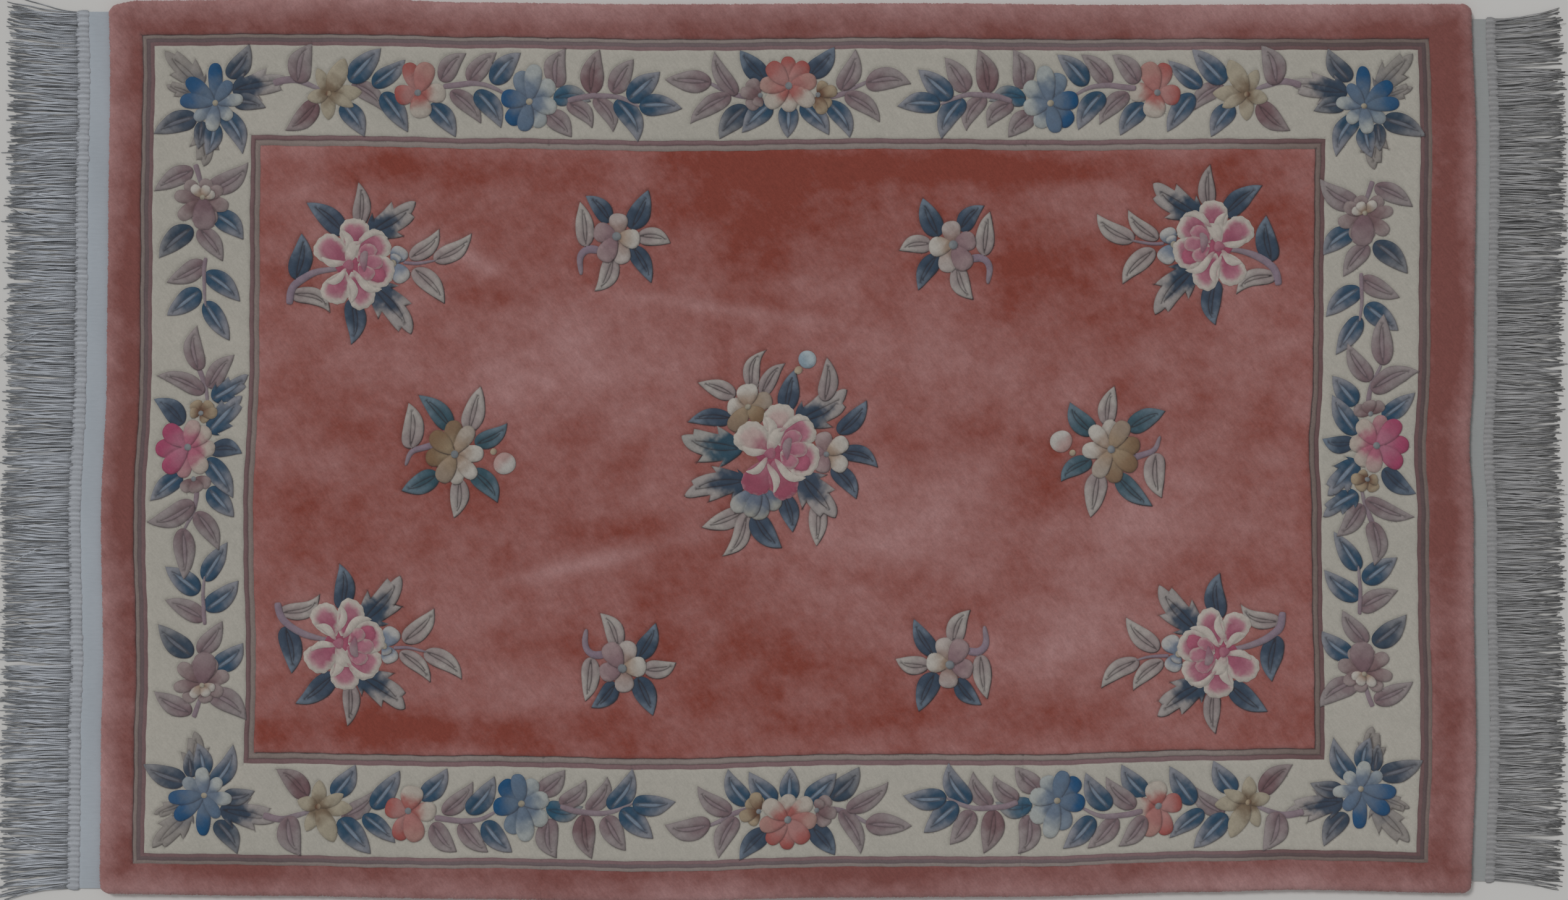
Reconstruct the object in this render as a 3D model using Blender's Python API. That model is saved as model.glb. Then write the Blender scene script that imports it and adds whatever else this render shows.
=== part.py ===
"""A Peking rug: carved wool pile on a cotton ground, with a flat-woven cotton web and a knotted
fringe at each end, lying flat on a floor.

Metres, +Z up. X runs along the rug and Y across it. The rug rests on Z = 0 and the middle of its
bounding box is at the origin.
"""

import math
from collections import namedtuple

import bmesh
import bpy
from mathutils import Vector

MM = 0.001
CLEARANCE = 0.3 * MM

# A rectangle of the rug's layout, before the cloth's own waviness is added.
Frame = namedtuple("Frame", "left right bottom top")

PILE = Frame(left=-0.926, right=0.940, bottom=-0.609, top=0.609)
OUTER_GUARD = Frame(left=-0.879, right=0.878, bottom=-0.566, top=0.560)
OUTER_GUARD_INSIDE = Frame(left=-0.863, right=0.862, bottom=-0.552, top=0.545)
INNER_GUARD = Frame(left=-0.730, right=0.732, bottom=-0.428, top=0.423)
INNER_GUARD_INSIDE = Frame(left=-0.717, right=0.719, bottom=-0.411, top=0.409)

# How far each edge of the real rug strays from a straight line: "at" is the place along the edge
# and "out" the offset, in millimetres, along +X for the ends and +Y for the sides.
Drift = namedtuple("Drift", "at out")
LEFT_DRIFT = (
    Drift(at=-610, out=-6.5),
    Drift(at=-400, out=-5.0),
    Drift(at=-290, out=-2.0),
    Drift(at=-95, out=-5.0),
    Drift(at=105, out=3.0),
    Drift(at=310, out=5.0),
    Drift(at=510, out=7.5),
    Drift(at=610, out=6.0),
)
RIGHT_DRIFT = (
    Drift(at=-610, out=-3.0),
    Drift(at=-400, out=3.4),
    Drift(at=-195, out=0.0),
    Drift(at=-95, out=0.0),
    Drift(at=5, out=-5.5),
    Drift(at=110, out=0.0),
    Drift(at=410, out=3.5),
    Drift(at=610, out=-3.0),
)
TOP_DRIFT = (
    Drift(at=-930, out=-3.0),
    Drift(at=-690, out=5.3),
    Drift(at=-560, out=5.3),
    Drift(at=-435, out=1.2),
    Drift(at=-185, out=-1.4),
    Drift(at=195, out=0.0),
    Drift(at=445, out=-2.2),
    Drift(at=940, out=-1.0),
)
BOTTOM_DRIFT = (
    Drift(at=-930, out=4.0),
    Drift(at=-690, out=1.3),
    Drift(at=-435, out=-2.8),
    Drift(at=-185, out=-7.0),
    Drift(at=70, out=-1.0),
    Drift(at=320, out=0.0),
    Drift(at=570, out=6.5),
    Drift(at=700, out=9.5),
    Drift(at=940, out=5.0),
)

# The pile body: its rim rolls over from the floor to the clipped surface.
PILE_HEIGHT = 15 * MM
RimStep = namedtuple("RimStep", "inset height")
PILE_RIM = (
    RimStep(inset=1.5 * MM, height=0.0),
    RimStep(inset=0.0, height=4 * MM),
    RimStep(inset=0.0, height=7.5 * MM),
    RimStep(inset=1.8 * MM, height=11.5 * MM),
    RimStep(inset=5.5 * MM, height=14 * MM),
    RimStep(inset=12 * MM, height=PILE_HEIGHT),
)
CORNER_RADIUS = 13 * MM
CORNER_STEPS = 4
LONG_STEPS = 26
END_STEPS = 22

# The guard stripes are parted by grooves clipped into the pile.
GROOVE_WIDTH = 3 * MM
GROOVE_DEPTH = 2 * MM
STRIPE_SPLIT = 0.42

# Each end: "out" points away from the pile, and "half" is half the width of the web.
End = namedtuple("End", "name out edge drift half web_width root_width fringe_length")
ENDS = (
    End("left", -1, PILE.left, LEFT_DRIFT, 0.598, 30 * MM, 15 * MM, 86 * MM),
    End("right", 1, PILE.right, RIGHT_DRIFT, 0.588, 21 * MM, 12 * MM, 86 * MM),
)
WEB_HEIGHT = 2.4 * MM
ROOT_HEIGHT = 4 * MM

# The fringe is laid in locks, each one a knotted group of cotton yarns.
LOCKS_PER_END = 150
LOCK_SHARE = 0.62
LockStep = namedtuple("LockStep", "along width height")
LOCK_STEPS = (
    LockStep(along=0.30, width=1.00, height=0.90),
    LockStep(along=0.66, width=0.92, height=0.80),
    LockStep(along=1.00, width=0.60, height=0.50),
)
TIP_SPREAD = 5 * MM
FAN_REACH = 15 * MM
FAN_POWER = 14
SWAY = 3 * MM
SWAY_PERIOD = 0.21
WIGGLE = 0.7 * MM

# Seen colours of the wool and the cotton, as linear values.
ROSE_WOOL = (0.36, 0.13, 0.10)
WHITE_COTTON = (0.55, 0.58, 0.60)
YARN_COTTON = (0.56, 0.55, 0.55)


def clear_scene():
    """Remove every object that the file opens with."""
    for thing in list(bpy.data.objects):
        bpy.data.objects.remove(thing)


def cloth_material(name, colour, roughness):
    """Return a matt material of one colour."""
    material = bpy.data.materials.new(name)
    material.use_nodes = True
    shader = material.node_tree.nodes["Principled BSDF"]
    shader.inputs["Base Color"].default_value = (*colour, 1.0)
    shader.inputs["Roughness"].default_value = roughness
    shader.inputs["Metallic"].default_value = 0.0
    return material


def drift_at(table, place):
    """Return an edge's offset in metres, eased from one row of its table to the next."""
    place = place / MM
    if place <= table[0].at:
        return table[0].out * MM
    for before, after in zip(table, table[1:]):
        if place <= after.at:
            share = (place - before.at) / (after.at - before.at)
            eased = share * share * (3 - 2 * share)
            return (before.out + (after.out - before.out) * eased) * MM
    return table[-1].out * MM


def settled(x, y):
    """Return where a point of the straight layout lies on the real, slightly wavy rug."""
    to_right = (x - PILE.left) / (PILE.right - PILE.left)
    to_top = (y - PILE.bottom) / (PILE.top - PILE.bottom)
    left = drift_at(LEFT_DRIFT, y)
    right = drift_at(RIGHT_DRIFT, y)
    bottom = drift_at(BOTTOM_DRIFT, x)
    top = drift_at(TOP_DRIFT, x)
    return (x + left + (right - left) * to_right, y + bottom + (top - bottom) * to_top)


def evenly(start, end, steps):
    """Return steps + 1 numbers from start to end."""
    return [start + (end - start) * i / steps for i in range(steps + 1)]


def corner_points(x, y, radius, start_angle):
    """Return the points of one rounded corner, without its two ends."""
    angles = evenly(start_angle, start_angle + math.pi / 2, CORNER_STEPS)[1:-1]
    return [(x + radius * math.cos(a), y + radius * math.sin(a)) for a in angles]


def outline(frame, inset, radius):
    """Return a frame's outline, anticlockwise from its lower left, with the same count of points
    whatever the frame."""
    left, right = frame.left + inset, frame.right - inset
    bottom, top = frame.bottom + inset, frame.top - inset
    radius = max(radius - inset, 1.0 * MM)
    low_x, high_x = left + radius, right - radius
    low_y, high_y = bottom + radius, top - radius
    points = [(x, bottom) for x in evenly(low_x, high_x, LONG_STEPS)]
    points += corner_points(high_x, low_y, radius, -math.pi / 2)
    points += [(right, y) for y in evenly(low_y, high_y, END_STEPS)]
    points += corner_points(high_x, high_y, radius, 0)
    points += [(x, top) for x in evenly(high_x, low_x, LONG_STEPS)]
    points += corner_points(low_x, high_y, radius, math.pi / 2)
    points += [(left, y) for y in evenly(high_y, low_y, END_STEPS)]
    points += corner_points(low_x, low_y, radius, math.pi)
    return points


def between(outer, inner, share):
    """Return the frame that lies a share of the way from one frame to another."""
    return Frame(*(a + (b - a) * share for a, b in zip(outer, inner)))


def groove_frames():
    """Return the frames on which the pile is grooved, from the rim inwards."""
    return (
        OUTER_GUARD,
        between(OUTER_GUARD, OUTER_GUARD_INSIDE, STRIPE_SPLIT),
        OUTER_GUARD_INSIDE,
        INNER_GUARD,
        between(INNER_GUARD, INNER_GUARD_INSIDE, 1 - STRIPE_SPLIT),
        INNER_GUARD_INSIDE,
    )


def add_ring(mesh, frame, inset, radius, height):
    """Add one settled ring of points at a height."""
    points = outline(frame, inset, radius)
    return [mesh.verts.new((*settled(x, y), height)) for x, y in points]


def join_rings(mesh, lower, upper):
    """Close the band between two rings with four-sided faces."""
    count = len(lower)
    for i in range(count):
        after = (i + 1) % count
        mesh.faces.new((lower[i], lower[after], upper[after], upper[i]))


def finish_object(name, mesh, material):
    """Turn an edited mesh into a named object with faces that point outwards."""
    bmesh.ops.recalc_face_normals(mesh, faces=mesh.faces)
    data = bpy.data.meshes.new(name)
    mesh.to_mesh(data)
    mesh.free()
    data.materials.append(material)
    thing = bpy.data.objects.new(name, data)
    bpy.context.scene.collection.objects.link(thing)
    return thing


def build_pile(material):
    """Build the knotted rug: ground, rolled rim, and a top clipped into grooves at its stripes."""
    mesh = bmesh.new()
    rings = [add_ring(mesh, PILE, s.inset, CORNER_RADIUS, s.height) for s in PILE_RIM]
    half_groove = GROOVE_WIDTH / 2
    for frame in groove_frames():
        for inset, cut in ((-half_groove, 0.0), (0.0, GROOVE_DEPTH), (half_groove, 0.0)):
            rings.append(add_ring(mesh, frame, inset, half_groove * 2, PILE_HEIGHT - cut))
    for lower, upper in zip(rings, rings[1:]):
        join_rings(mesh, lower, upper)
    mesh.faces.new(rings[-1])
    mesh.faces.new(list(reversed(rings[0])))
    return finish_object("pile", mesh, material)


def end_line(end):
    """Return the pile's edge at one end as (y, x) points, as the pile's own ring has them."""
    low, high = PILE.bottom + CORNER_RADIUS, PILE.top - CORNER_RADIUS
    places = [settled(end.edge, y) for y in evenly(low, high, END_STEPS)]
    return [(y, x) for x, y in places]


def edge_x(line, y):
    """Return where the pile's edge lies at a place across the rug."""
    for (y0, x0), (y1, x1) in zip(line, line[1:]):
        if y <= y1 or (y1, x1) == line[-1]:
            return x0 + (x1 - x0) * (y - y0) / (y1 - y0)
    return line[-1][1]


def build_web(end, material):
    """Build the flat-woven strip between the pile and the fringe."""
    line = end_line(end)
    places = [-end.half] + [y for y, _ in line if abs(y) < end.half - CLEARANCE] + [end.half]
    mesh = bmesh.new()
    near, far = CLEARANCE, end.web_width - CLEARANCE
    points = [(edge_x(line, y) + end.out * near, y) for y in places]
    points += [(edge_x(line, y) + end.out * far, y) for y in reversed(places)]
    floor = mesh.faces.new([mesh.verts.new((x, y, 0.0)) for x, y in points])
    raised = bmesh.ops.extrude_face_region(mesh, geom=[floor])["geom"]
    corners = [item for item in raised if isinstance(item, bmesh.types.BMVert)]
    bmesh.ops.translate(mesh, verts=corners, vec=Vector((0, 0, WEB_HEIGHT)))
    return finish_object(f"web_{end.name}", mesh, material)


def lock_middle(end, index, along):
    """Return how far one lock lies across the rug at a share of its length."""
    pitch = 2 * end.half / LOCKS_PER_END
    root = -end.half + pitch * (index + 0.5)
    fan = FAN_REACH * math.copysign(abs(root / end.half) ** FAN_POWER, root)
    sway = SWAY * math.sin(2 * math.pi * root / SWAY_PERIOD + end.out)
    wiggle = WIGGLE * math.sin(index * 2.4 + 5.0 * along)
    return root + fan * along**1.5 + sway * along**2 + wiggle * along


def lock_length(end, index):
    """Return one lock's length, as unevenly cut as the yarns of the real fringe."""
    uneven = 0.6 * math.sin(index * 0.37 + end.out) + 0.4 * math.sin(index * 1.9)
    return end.fringe_length + TIP_SPREAD * uneven


def place_lock_face(face, x, middle, width, height):
    """Put the four corners of a lock's end face around a point on the floor."""
    centre_y = face.calc_center_median().y
    centre_z = face.calc_center_median().z
    for corner in face.verts:
        side = 1 if corner.co.y > centre_y else -1
        top = height if corner.co.z > centre_z else 0.0
        corner.co = Vector((x, middle + side * width / 2, top))


def build_fringe(end, material):
    """Build the knotted root strip and the locks that run from it over the floor."""
    line = end_line(end)
    pitch = 2 * end.half / LOCKS_PER_END
    width = pitch * LOCK_SHARE
    columns = 2 * LOCKS_PER_END - 1
    near, far = end.web_width, end.web_width + end.root_width
    mesh = bmesh.new()
    bmesh.ops.create_grid(mesh, x_segments=1, y_segments=columns, size=1)
    for corner in mesh.verts:
        column = round((corner.co.y + 1) / 2 * columns)
        lock, side = column // 2, 1 if column % 2 else -1
        y = -end.half + pitch * (lock + 0.5) + side * width / 2
        out = far if corner.co.x > 0 else near
        corner.co = Vector((edge_x(line, y) + end.out * out, y, 0.0))
    raised = bmesh.ops.extrude_face_region(mesh, geom=mesh.faces[:])["geom"]
    tops = [item for item in raised if isinstance(item, bmesh.types.BMVert)]
    bmesh.ops.translate(mesh, verts=tops, vec=Vector((0, 0, ROOT_HEIGHT)))
    bmesh.ops.recalc_face_normals(mesh, faces=mesh.faces)
    outer_side = [f for f in mesh.faces if f.normal.x * end.out > 0.5]
    locks = sorted(outer_side, key=lambda f: f.calc_center_median().y)[::2]
    roots = [face.calc_center_median().x for face in locks]
    for step in LOCK_STEPS:
        locks = bmesh.ops.extrude_discrete_faces(mesh, faces=locks)["faces"]
        locks.sort(key=lambda f: f.calc_center_median().y)
        for index, face in enumerate(locks):
            x = roots[index] + end.out * lock_length(end, index) * step.along
            middle = lock_middle(end, index, step.along)
            place_lock_face(face, x, middle, width * step.width, ROOT_HEIGHT * step.height)
    return finish_object(f"fringe_{end.name}", mesh, material)


def main():
    """Build the rug's five pieces."""
    clear_scene()
    wool = cloth_material("rose_wool", ROSE_WOOL, 0.9)
    webbing = cloth_material("cotton_web", WHITE_COTTON, 0.85)
    yarn = cloth_material("cotton_yarn", YARN_COTTON, 0.85)
    build_pile(wool)
    for end in ENDS:
        build_web(end, webbing)
        build_fringe(end, yarn)


main()
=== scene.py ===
"""Looks of a hand-knotted, carved Peking rug that lies flat on a pale floor.

The rug is worked in four stages: the wool pile with its dyed and carved sprays, the cotton webs at
its two ends, the rows of knots that lock them, and the fringes of plied yarn. A studio with a floor,
soft lamps and a camera straight above shows it.
"""

import logging
import math
from dataclasses import dataclass
from enum import Enum
from typing import Any, Sequence

import bmesh
import bpy
import numpy as np
from mathutils import Matrix, Vector, geometry
from mathutils.kdtree import KDTree


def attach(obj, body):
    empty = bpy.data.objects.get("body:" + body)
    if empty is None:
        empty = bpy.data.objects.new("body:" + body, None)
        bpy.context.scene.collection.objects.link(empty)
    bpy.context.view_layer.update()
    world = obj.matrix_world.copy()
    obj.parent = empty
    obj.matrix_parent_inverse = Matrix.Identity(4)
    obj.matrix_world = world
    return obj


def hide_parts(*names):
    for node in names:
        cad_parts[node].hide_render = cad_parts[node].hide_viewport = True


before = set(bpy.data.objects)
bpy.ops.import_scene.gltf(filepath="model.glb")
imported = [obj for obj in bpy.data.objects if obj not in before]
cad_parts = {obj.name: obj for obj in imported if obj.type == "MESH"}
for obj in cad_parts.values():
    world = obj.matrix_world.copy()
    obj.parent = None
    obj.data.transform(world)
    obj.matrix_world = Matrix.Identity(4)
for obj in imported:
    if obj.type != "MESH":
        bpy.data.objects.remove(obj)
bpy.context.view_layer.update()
log = logging.getLogger("rug")

MM = 0.001
Point = tuple[float, float]
Triple = tuple[float, float, float]
Colour = Triple
Points = np.ndarray


@dataclass(frozen=True)
class Border:
    """A straight-sided frame of the rug, before the loom's drift, in metres."""

    left: float
    right: float
    bottom: float
    top: float

    def inset(self, by: float) -> "Border":
        """Return the frame that lies this far inside."""
        return Border(self.left + by, self.right - by, self.bottom + by, self.top - by)

    def towards(self, other: "Border", share: float) -> "Border":
        """Return the frame a share of the way to another."""
        mix = [a + (b - a) * share for a, b in zip(self.sides(), other.sides())]
        return Border(*mix)

    def sides(self) -> tuple[float, float, float, float]:
        """Return left, right, bottom and top."""
        return self.left, self.right, self.bottom, self.top

    def holds(self, points: Points) -> Points:
        """Return which points lie inside."""
        x, y = points[:, 0], points[:, 1]
        return (x > self.left) & (x < self.right) & (y > self.bottom) & (y < self.top)


PILE = Border(-0.926, 0.940, -0.609, 0.609)
OUTER_GUARD = Border(-0.879, 0.878, -0.566, 0.560)
OUTER_GUARD_INSIDE = Border(-0.863, 0.862, -0.552, 0.545)
INNER_GUARD = Border(-0.730, 0.732, -0.428, 0.423)
INNER_GUARD_INSIDE = Border(-0.717, 0.719, -0.4135, 0.409)
OUTER_SPLIT = OUTER_GUARD.towards(OUTER_GUARD_INSIDE, 0.34)
OUTER_SHADE = OUTER_GUARD.towards(OUTER_GUARD_INSIDE, 0.68)
INNER_SPLIT = INNER_GUARD.towards(INNER_GUARD_INSIDE, 0.46)

# How far each edge drifts from straight: (place along the edge, shift), in mm.
LEFT_DRIFT = ((-610, -6.5), (-400, -5), (-290, -2), (-95, -5), (105, 3), (310, 5), (510, 7.5), (610, 6))
RIGHT_DRIFT = ((-610, -3), (-400, 3.4), (-195, 0), (-95, 0), (5, -5.5), (110, 0), (410, 3.5), (610, -3))
TOP_DRIFT = ((-930, -3), (-885, 3.5), (-690, 5.3), (-560, 5.3), (-435, 1.2), (-185, -1.4), (195, 0),
             (445, -2.2), (940, -1))
BOTTOM_DRIFT = ((-930, 4), (-690, 1.3), (-435, -2.8), (-185, -7), (70, -1), (320, 0), (570, 6.5),
                (700, 9.5), (940, 5))

PILE_HEIGHT = 15 * MM
CORNER_RADIUS = 13 * MM
TOP_INSET = 12 * MM
WEB_HEIGHT = 2.4 * MM
CLEARANCE = 0.3 * MM


def drift_at(table: Sequence[Point], places: Points) -> Points:
    """Return how far an edge drifts at places along it.

    Args:
        table: (place, shift) rows in mm, in rising order of place.
        places: places along the edge, in metres.

    Returns:
        The shift at each place, in metres.
    """
    at, shift = np.array(table).T * MM
    row = np.clip(np.searchsorted(at, places), 1, len(at) - 1)
    return shift[row - 1] + (shift[row] - shift[row - 1]) * smooth(at[row - 1], at[row], places)


def settled(points: Points) -> Points:
    """Return where points of the straight design come to lie in the real, drifting rug."""
    x, y = points[:, 0], points[:, 1]
    to_right = (x - PILE.left) / (PILE.right - PILE.left)
    to_top = (y - PILE.bottom) / (PILE.top - PILE.bottom)
    left, right = drift_at(LEFT_DRIFT, y), drift_at(RIGHT_DRIFT, y)
    bottom, top = drift_at(BOTTOM_DRIFT, x), drift_at(TOP_DRIFT, x)
    return np.column_stack((x + left + (right - left) * to_right, y + bottom + (top - bottom) * to_top))


def straightened(points: Points, rounds: int = 4) -> Points:
    """Return where points of the real rug lie in the straight design, nearer with each round."""
    straight = points.copy()
    for _ in range(rounds):
        straight += points - settled(straight)
    return straight


def smooth(low: float | Points, high: float | Points, value: Points) -> Points:
    """Return an even ease from 0 at low to 1 at high, which may lie below it."""
    share = np.clip((value - low) / (high - low), 0, 1)
    return share * share * (3 - 2 * share)


def mottled(points: Points) -> Points:
    """Return an uneven value from -1 to 1 at points: blotches of about 10 and 20 mm."""
    x, y = points.T / MM
    # The wavelengths share no factor, so that no leaf shows a repeat.
    broad = np.sin(x / 3.7 + 1.7 * np.sin(y / 5.3)) + np.sin(y / 3.1 + 1.3 * np.sin(x / 4.6 + 2))
    fine = np.sin(x / 1.6 + 2.1 * np.sin(y / 2.3 + 1)) + np.sin(y / 1.4 + 1.9 * np.sin(x / 2.1))
    return 0.32 * broad + 0.18 * fine


def wandering(points: Points, share: float = 1.0) -> Points:
    """Return points of a drawn line as they were knotted: a little off, or back with a share of -1."""
    x, y = points.T
    # A short, a shorter and a long wave, each with its height in mm.
    shift = [0.35 * np.sin(v / 0.019 + 50 * w) + 0.3 * np.sin(v / 0.0063 + 90 * w) + 0.6 * np.sin(v / 0.071)
             for v, w in ((y, x), (x, y))]
    return points + share * np.column_stack(shift) * MM


def rounded(points: Points, times: int = 3) -> Points:
    """Return an open line with its corners cut off so many times."""
    for _ in range(times):
        first, second = points[:-1], points[1:]
        cut = np.stack((0.75 * first + 0.25 * second, 0.25 * first + 0.75 * second), axis=1)
        points = np.concatenate((points[:1], cut.reshape(-1, 2), points[-1:]))
    return points


# Dyes

LAMP_SHARE = 0.56


def wool(red: int, green: int, blue: int) -> Colour:
    """Return the dye that shows as this 8-bit colour under the studio's lamps."""
    parts = [c / 255 for c in (red, green, blue)]
    linear = [((c + 0.055) / 1.055) ** 2.4 if c > 0.04045 else c / 12.92 for c in parts]
    return tuple(c / LAMP_SHARE for c in linear)


@dataclass(frozen=True)
class Dye:
    """The colours of one leaf or petal: from its base to its tip, with a rim or a midrib if it has one."""

    near: Colour
    far: Colour
    turn: Point = (0.25, 0.95)
    rim: Colour | None = None
    rim_width: float = 0.0
    narrow: float = 0.0
    vein: Colour | None = None

    RUN = 0.14
    RIM_RUN = 2.2
    FLECKS = 0.09
    VEIN_STRENGTH = 0.8
    VEIN_SIDES = (0.24, 0.1)
    VEIN_TIP = (0.75, 0.55)
    VEIN_BASE = (0.0, 0.15)

    def blended(self, other: "Dye", share: float) -> "Dye":
        """Return a dye a share of the way to another."""
        mixed = [tuple(a + (b - a) * share for a, b in zip(p, q))
                 for p, q in ((self.near, other.near), (self.far, other.far), (self.turn, other.turn))]
        return Dye(*mixed, self.rim, self.rim_width, self.narrow)

    def at(self, along: Points, across: Points, depth: Points, uneven: Points) -> Points:
        """Return the colour at places of a piece.

        Args:
            along: shares of its length, from 0 at the base to 1 at the tip.
            across: shares of its half-width, from -1 to 1.
            depth: distances inside its outline, in mm.
            uneven: how far the dye ran at each place, from -1 to 1.

        Returns:
            One row of red, green and blue for each place.
        """
        fade = smooth(*self.turn, along + self.narrow * np.abs(across) + self.RUN * uneven)[:, None]
        colour = np.array(self.near) * (1 - fade) + np.array(self.far) * fade
        if self.rim:
            width = self.rim_width * (0.5 + 0.75 * along)
            inner = smooth(0.3, 1.0, (depth + self.RIM_RUN * uneven) / width)[:, None]
            colour = np.array(self.rim) * (1 - inner) + colour * inner
        if self.vein:
            lens = smooth(*self.VEIN_SIDES, np.abs(across))
            lens = lens * smooth(*self.VEIN_TIP, along) * smooth(*self.VEIN_BASE, along)
            colour += self.VEIN_STRENGTH * lens[:, None] * (np.array(self.vein) - colour)
        return colour * (1 + self.FLECKS * uneven)[:, None]


LIGHT_VEIN = wool(108, 121, 135)
SLATE = Dye(wool(46, 60, 75), wool(88, 99, 111), (0.42, 1.05), narrow=0.16)
STEEL = Dye(wool(46, 70, 80), wool(80, 96, 106), (0.3, 1.05), narrow=0.3)
BLUE = Dye(wool(34, 62, 82), wool(108, 110, 116), (0.38, 1.06), narrow=0.34, vein=LIGHT_VEIN)
DUSK = Dye(wool(42, 57, 71), wool(104, 105, 108), (0.38, 1.1), narrow=0.3, vein=wool(92, 96, 104))
TEAL = Dye(wool(38, 72, 92), wool(108, 110, 112), (0.3, 0.95), narrow=0.25)
GREY = Dye(wool(116, 106, 106), wool(127, 120, 118), narrow=0.3)
PALE = Dye(wool(123, 113, 112), wool(137, 132, 128), narrow=0.3)
MAUVE = Dye(wool(100, 84, 88), wool(118, 111, 111), (0.1, 0.9), narrow=0.3, vein=wool(116, 104, 108))
PLUM = Dye(wool(94, 73, 76), wool(114, 105, 105), (0.35, 1.0), narrow=0.3)
JAGGED = Dye(wool(42, 57, 72), wool(128, 123, 121), (0.48, 0.86), narrow=0.4)
JAGGED_TEAL = Dye(wool(38, 64, 78), wool(126, 124, 121), (0.48, 0.86), narrow=0.35)
JAGGED_GREY = Dye(wool(94, 94, 97), wool(118, 114, 110), (0.1, 0.7), narrow=0.3)
STEM = Dye(wool(111, 98, 109), wool(114, 103, 110))
BORDER_STEM = Dye(wool(112, 99, 106), wool(117, 108, 113))
CREAM_PETAL = Dye(wool(128, 110, 96), wool(152, 148, 142), (0.15, 0.8))
LILAC_PETAL = Dye(wool(112, 91, 95), wool(124, 107, 108))
TAN_PETAL = Dye(wool(124, 108, 88), wool(103, 82, 62), (0.15, 0.85))
MIST_PETAL = Dye(wool(78, 88, 102), wool(126, 126, 120), (0.45, 1.0))
SKY_PETAL = Dye(wool(96, 106, 120), wool(143, 142, 140), (0.35, 0.85))
BUD_PETAL = Dye(wool(142, 118, 114), wool(150, 147, 143), (0.2, 0.7))
BUD_SKY = Dye(wool(112, 128, 138), wool(134, 144, 148), (0.2, 0.8))
CALYX = Dye(wool(142, 132, 114), wool(134, 118, 102))
RUFFLE = wool(153, 147, 140)
PEONY = Dye(wool(127, 71, 88), wool(140, 96, 107), (0.3, 1.0), RUFFLE, 10.0)
PEONY_PALE = Dye(wool(128, 74, 88), wool(150, 132, 128), (0.12, 0.62), RUFFLE, 12.0)
PEONY_BARE = Dye(wool(134, 88, 100), wool(122, 62, 78), (0.05, 0.7), wool(136, 92, 102), 2.0)
PEONY_DEEP = Dye(wool(126, 62, 80), wool(136, 74, 92), (0.2, 0.9))
CURL = Dye(wool(142, 120, 120), wool(154, 148, 141), (0.0, 0.35))
PEONY_HEART = Dye(wool(132, 78, 94), wool(140, 96, 107), (0.2, 0.9), wool(147, 124, 124), 3.0)
PEONY_CORE = Dye(wool(118, 84, 96), wool(122, 106, 110), (0.1, 0.7))
PEONY_HUB = Dye(wool(130, 80, 95), wool(134, 90, 101))
VIVID_BLUE = Dye(wool(74, 90, 107), wool(18, 64, 98), (0.3, 0.85))
FADED_BLUE = Dye(wool(84, 97, 112), wool(136, 140, 138), (0.3, 0.85))
VIVID_CORAL = Dye(wool(138, 100, 97), wool(128, 66, 62), (0.35, 1.0))
FADED_CORAL = Dye(wool(132, 78, 74), wool(145, 138, 130), (0.22, 0.72))
VIVID_ROSE = Dye(wool(138, 88, 104), wool(130, 56, 82), (0.2, 0.9))
FADED_ROSE = Dye(wool(138, 80, 96), wool(145, 136, 128), (0.3, 0.8))
AMBER = Dye(wool(86, 62, 48), wool(130, 117, 98), (0.1, 0.85))
STRAW = Dye(wool(98, 84, 68), wool(133, 126, 111), (0.1, 0.6))
MAUVE_BLOOM = Dye(wool(96, 76, 78), wool(121, 110, 109), (0.2, 0.95))
BELL = Dye(wool(98, 78, 83), wool(112, 98, 100), (0.2, 0.9))
HEART_GREY = Dye(wool(100, 104, 108), wool(112, 116, 118))
HEART_CREAM = Dye(wool(128, 122, 108), wool(140, 134, 122))

ROSE = wool(114, 56, 47)
BAND_ROSE = wool(109, 66, 62)
CREAM = wool(147, 144, 136)
LIGHT_STRIPE = wool(121, 112, 108)
SLATE_STRIPE = wool(94, 83, 85)
MAUVE_STRIPE = wool(108, 87, 89)


# Pieces of the design


class Form(Enum):
    """A piece's outline: powers of along and of what is left for its half-width, and its line's depth and
    painted shade.
    """

    LEAF = (0.52, 0.92, 1.0)
    PETAL = (0.75, 0.42, 0.8)
    RUFFLED = (0.75, 0.42, 0.3)
    CURLED = (0.62, 0.60, 0.25)
    POINTED = (0.70, 0.72, 0.7)
    ROUND = (0.50, 0.50, 0.6)
    JAGGED = (0.50, 0.80, 1.01)

    def width(self, along: Points) -> Points:
        """Return the share of the full half-width at shares of the length."""
        rise, fall, _ = self.value
        peak = rise / (rise + fall)
        scale = peak**rise * (1 - peak) ** fall
        return along**rise * np.clip(1 - along, 0, 1) ** fall / scale


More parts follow.
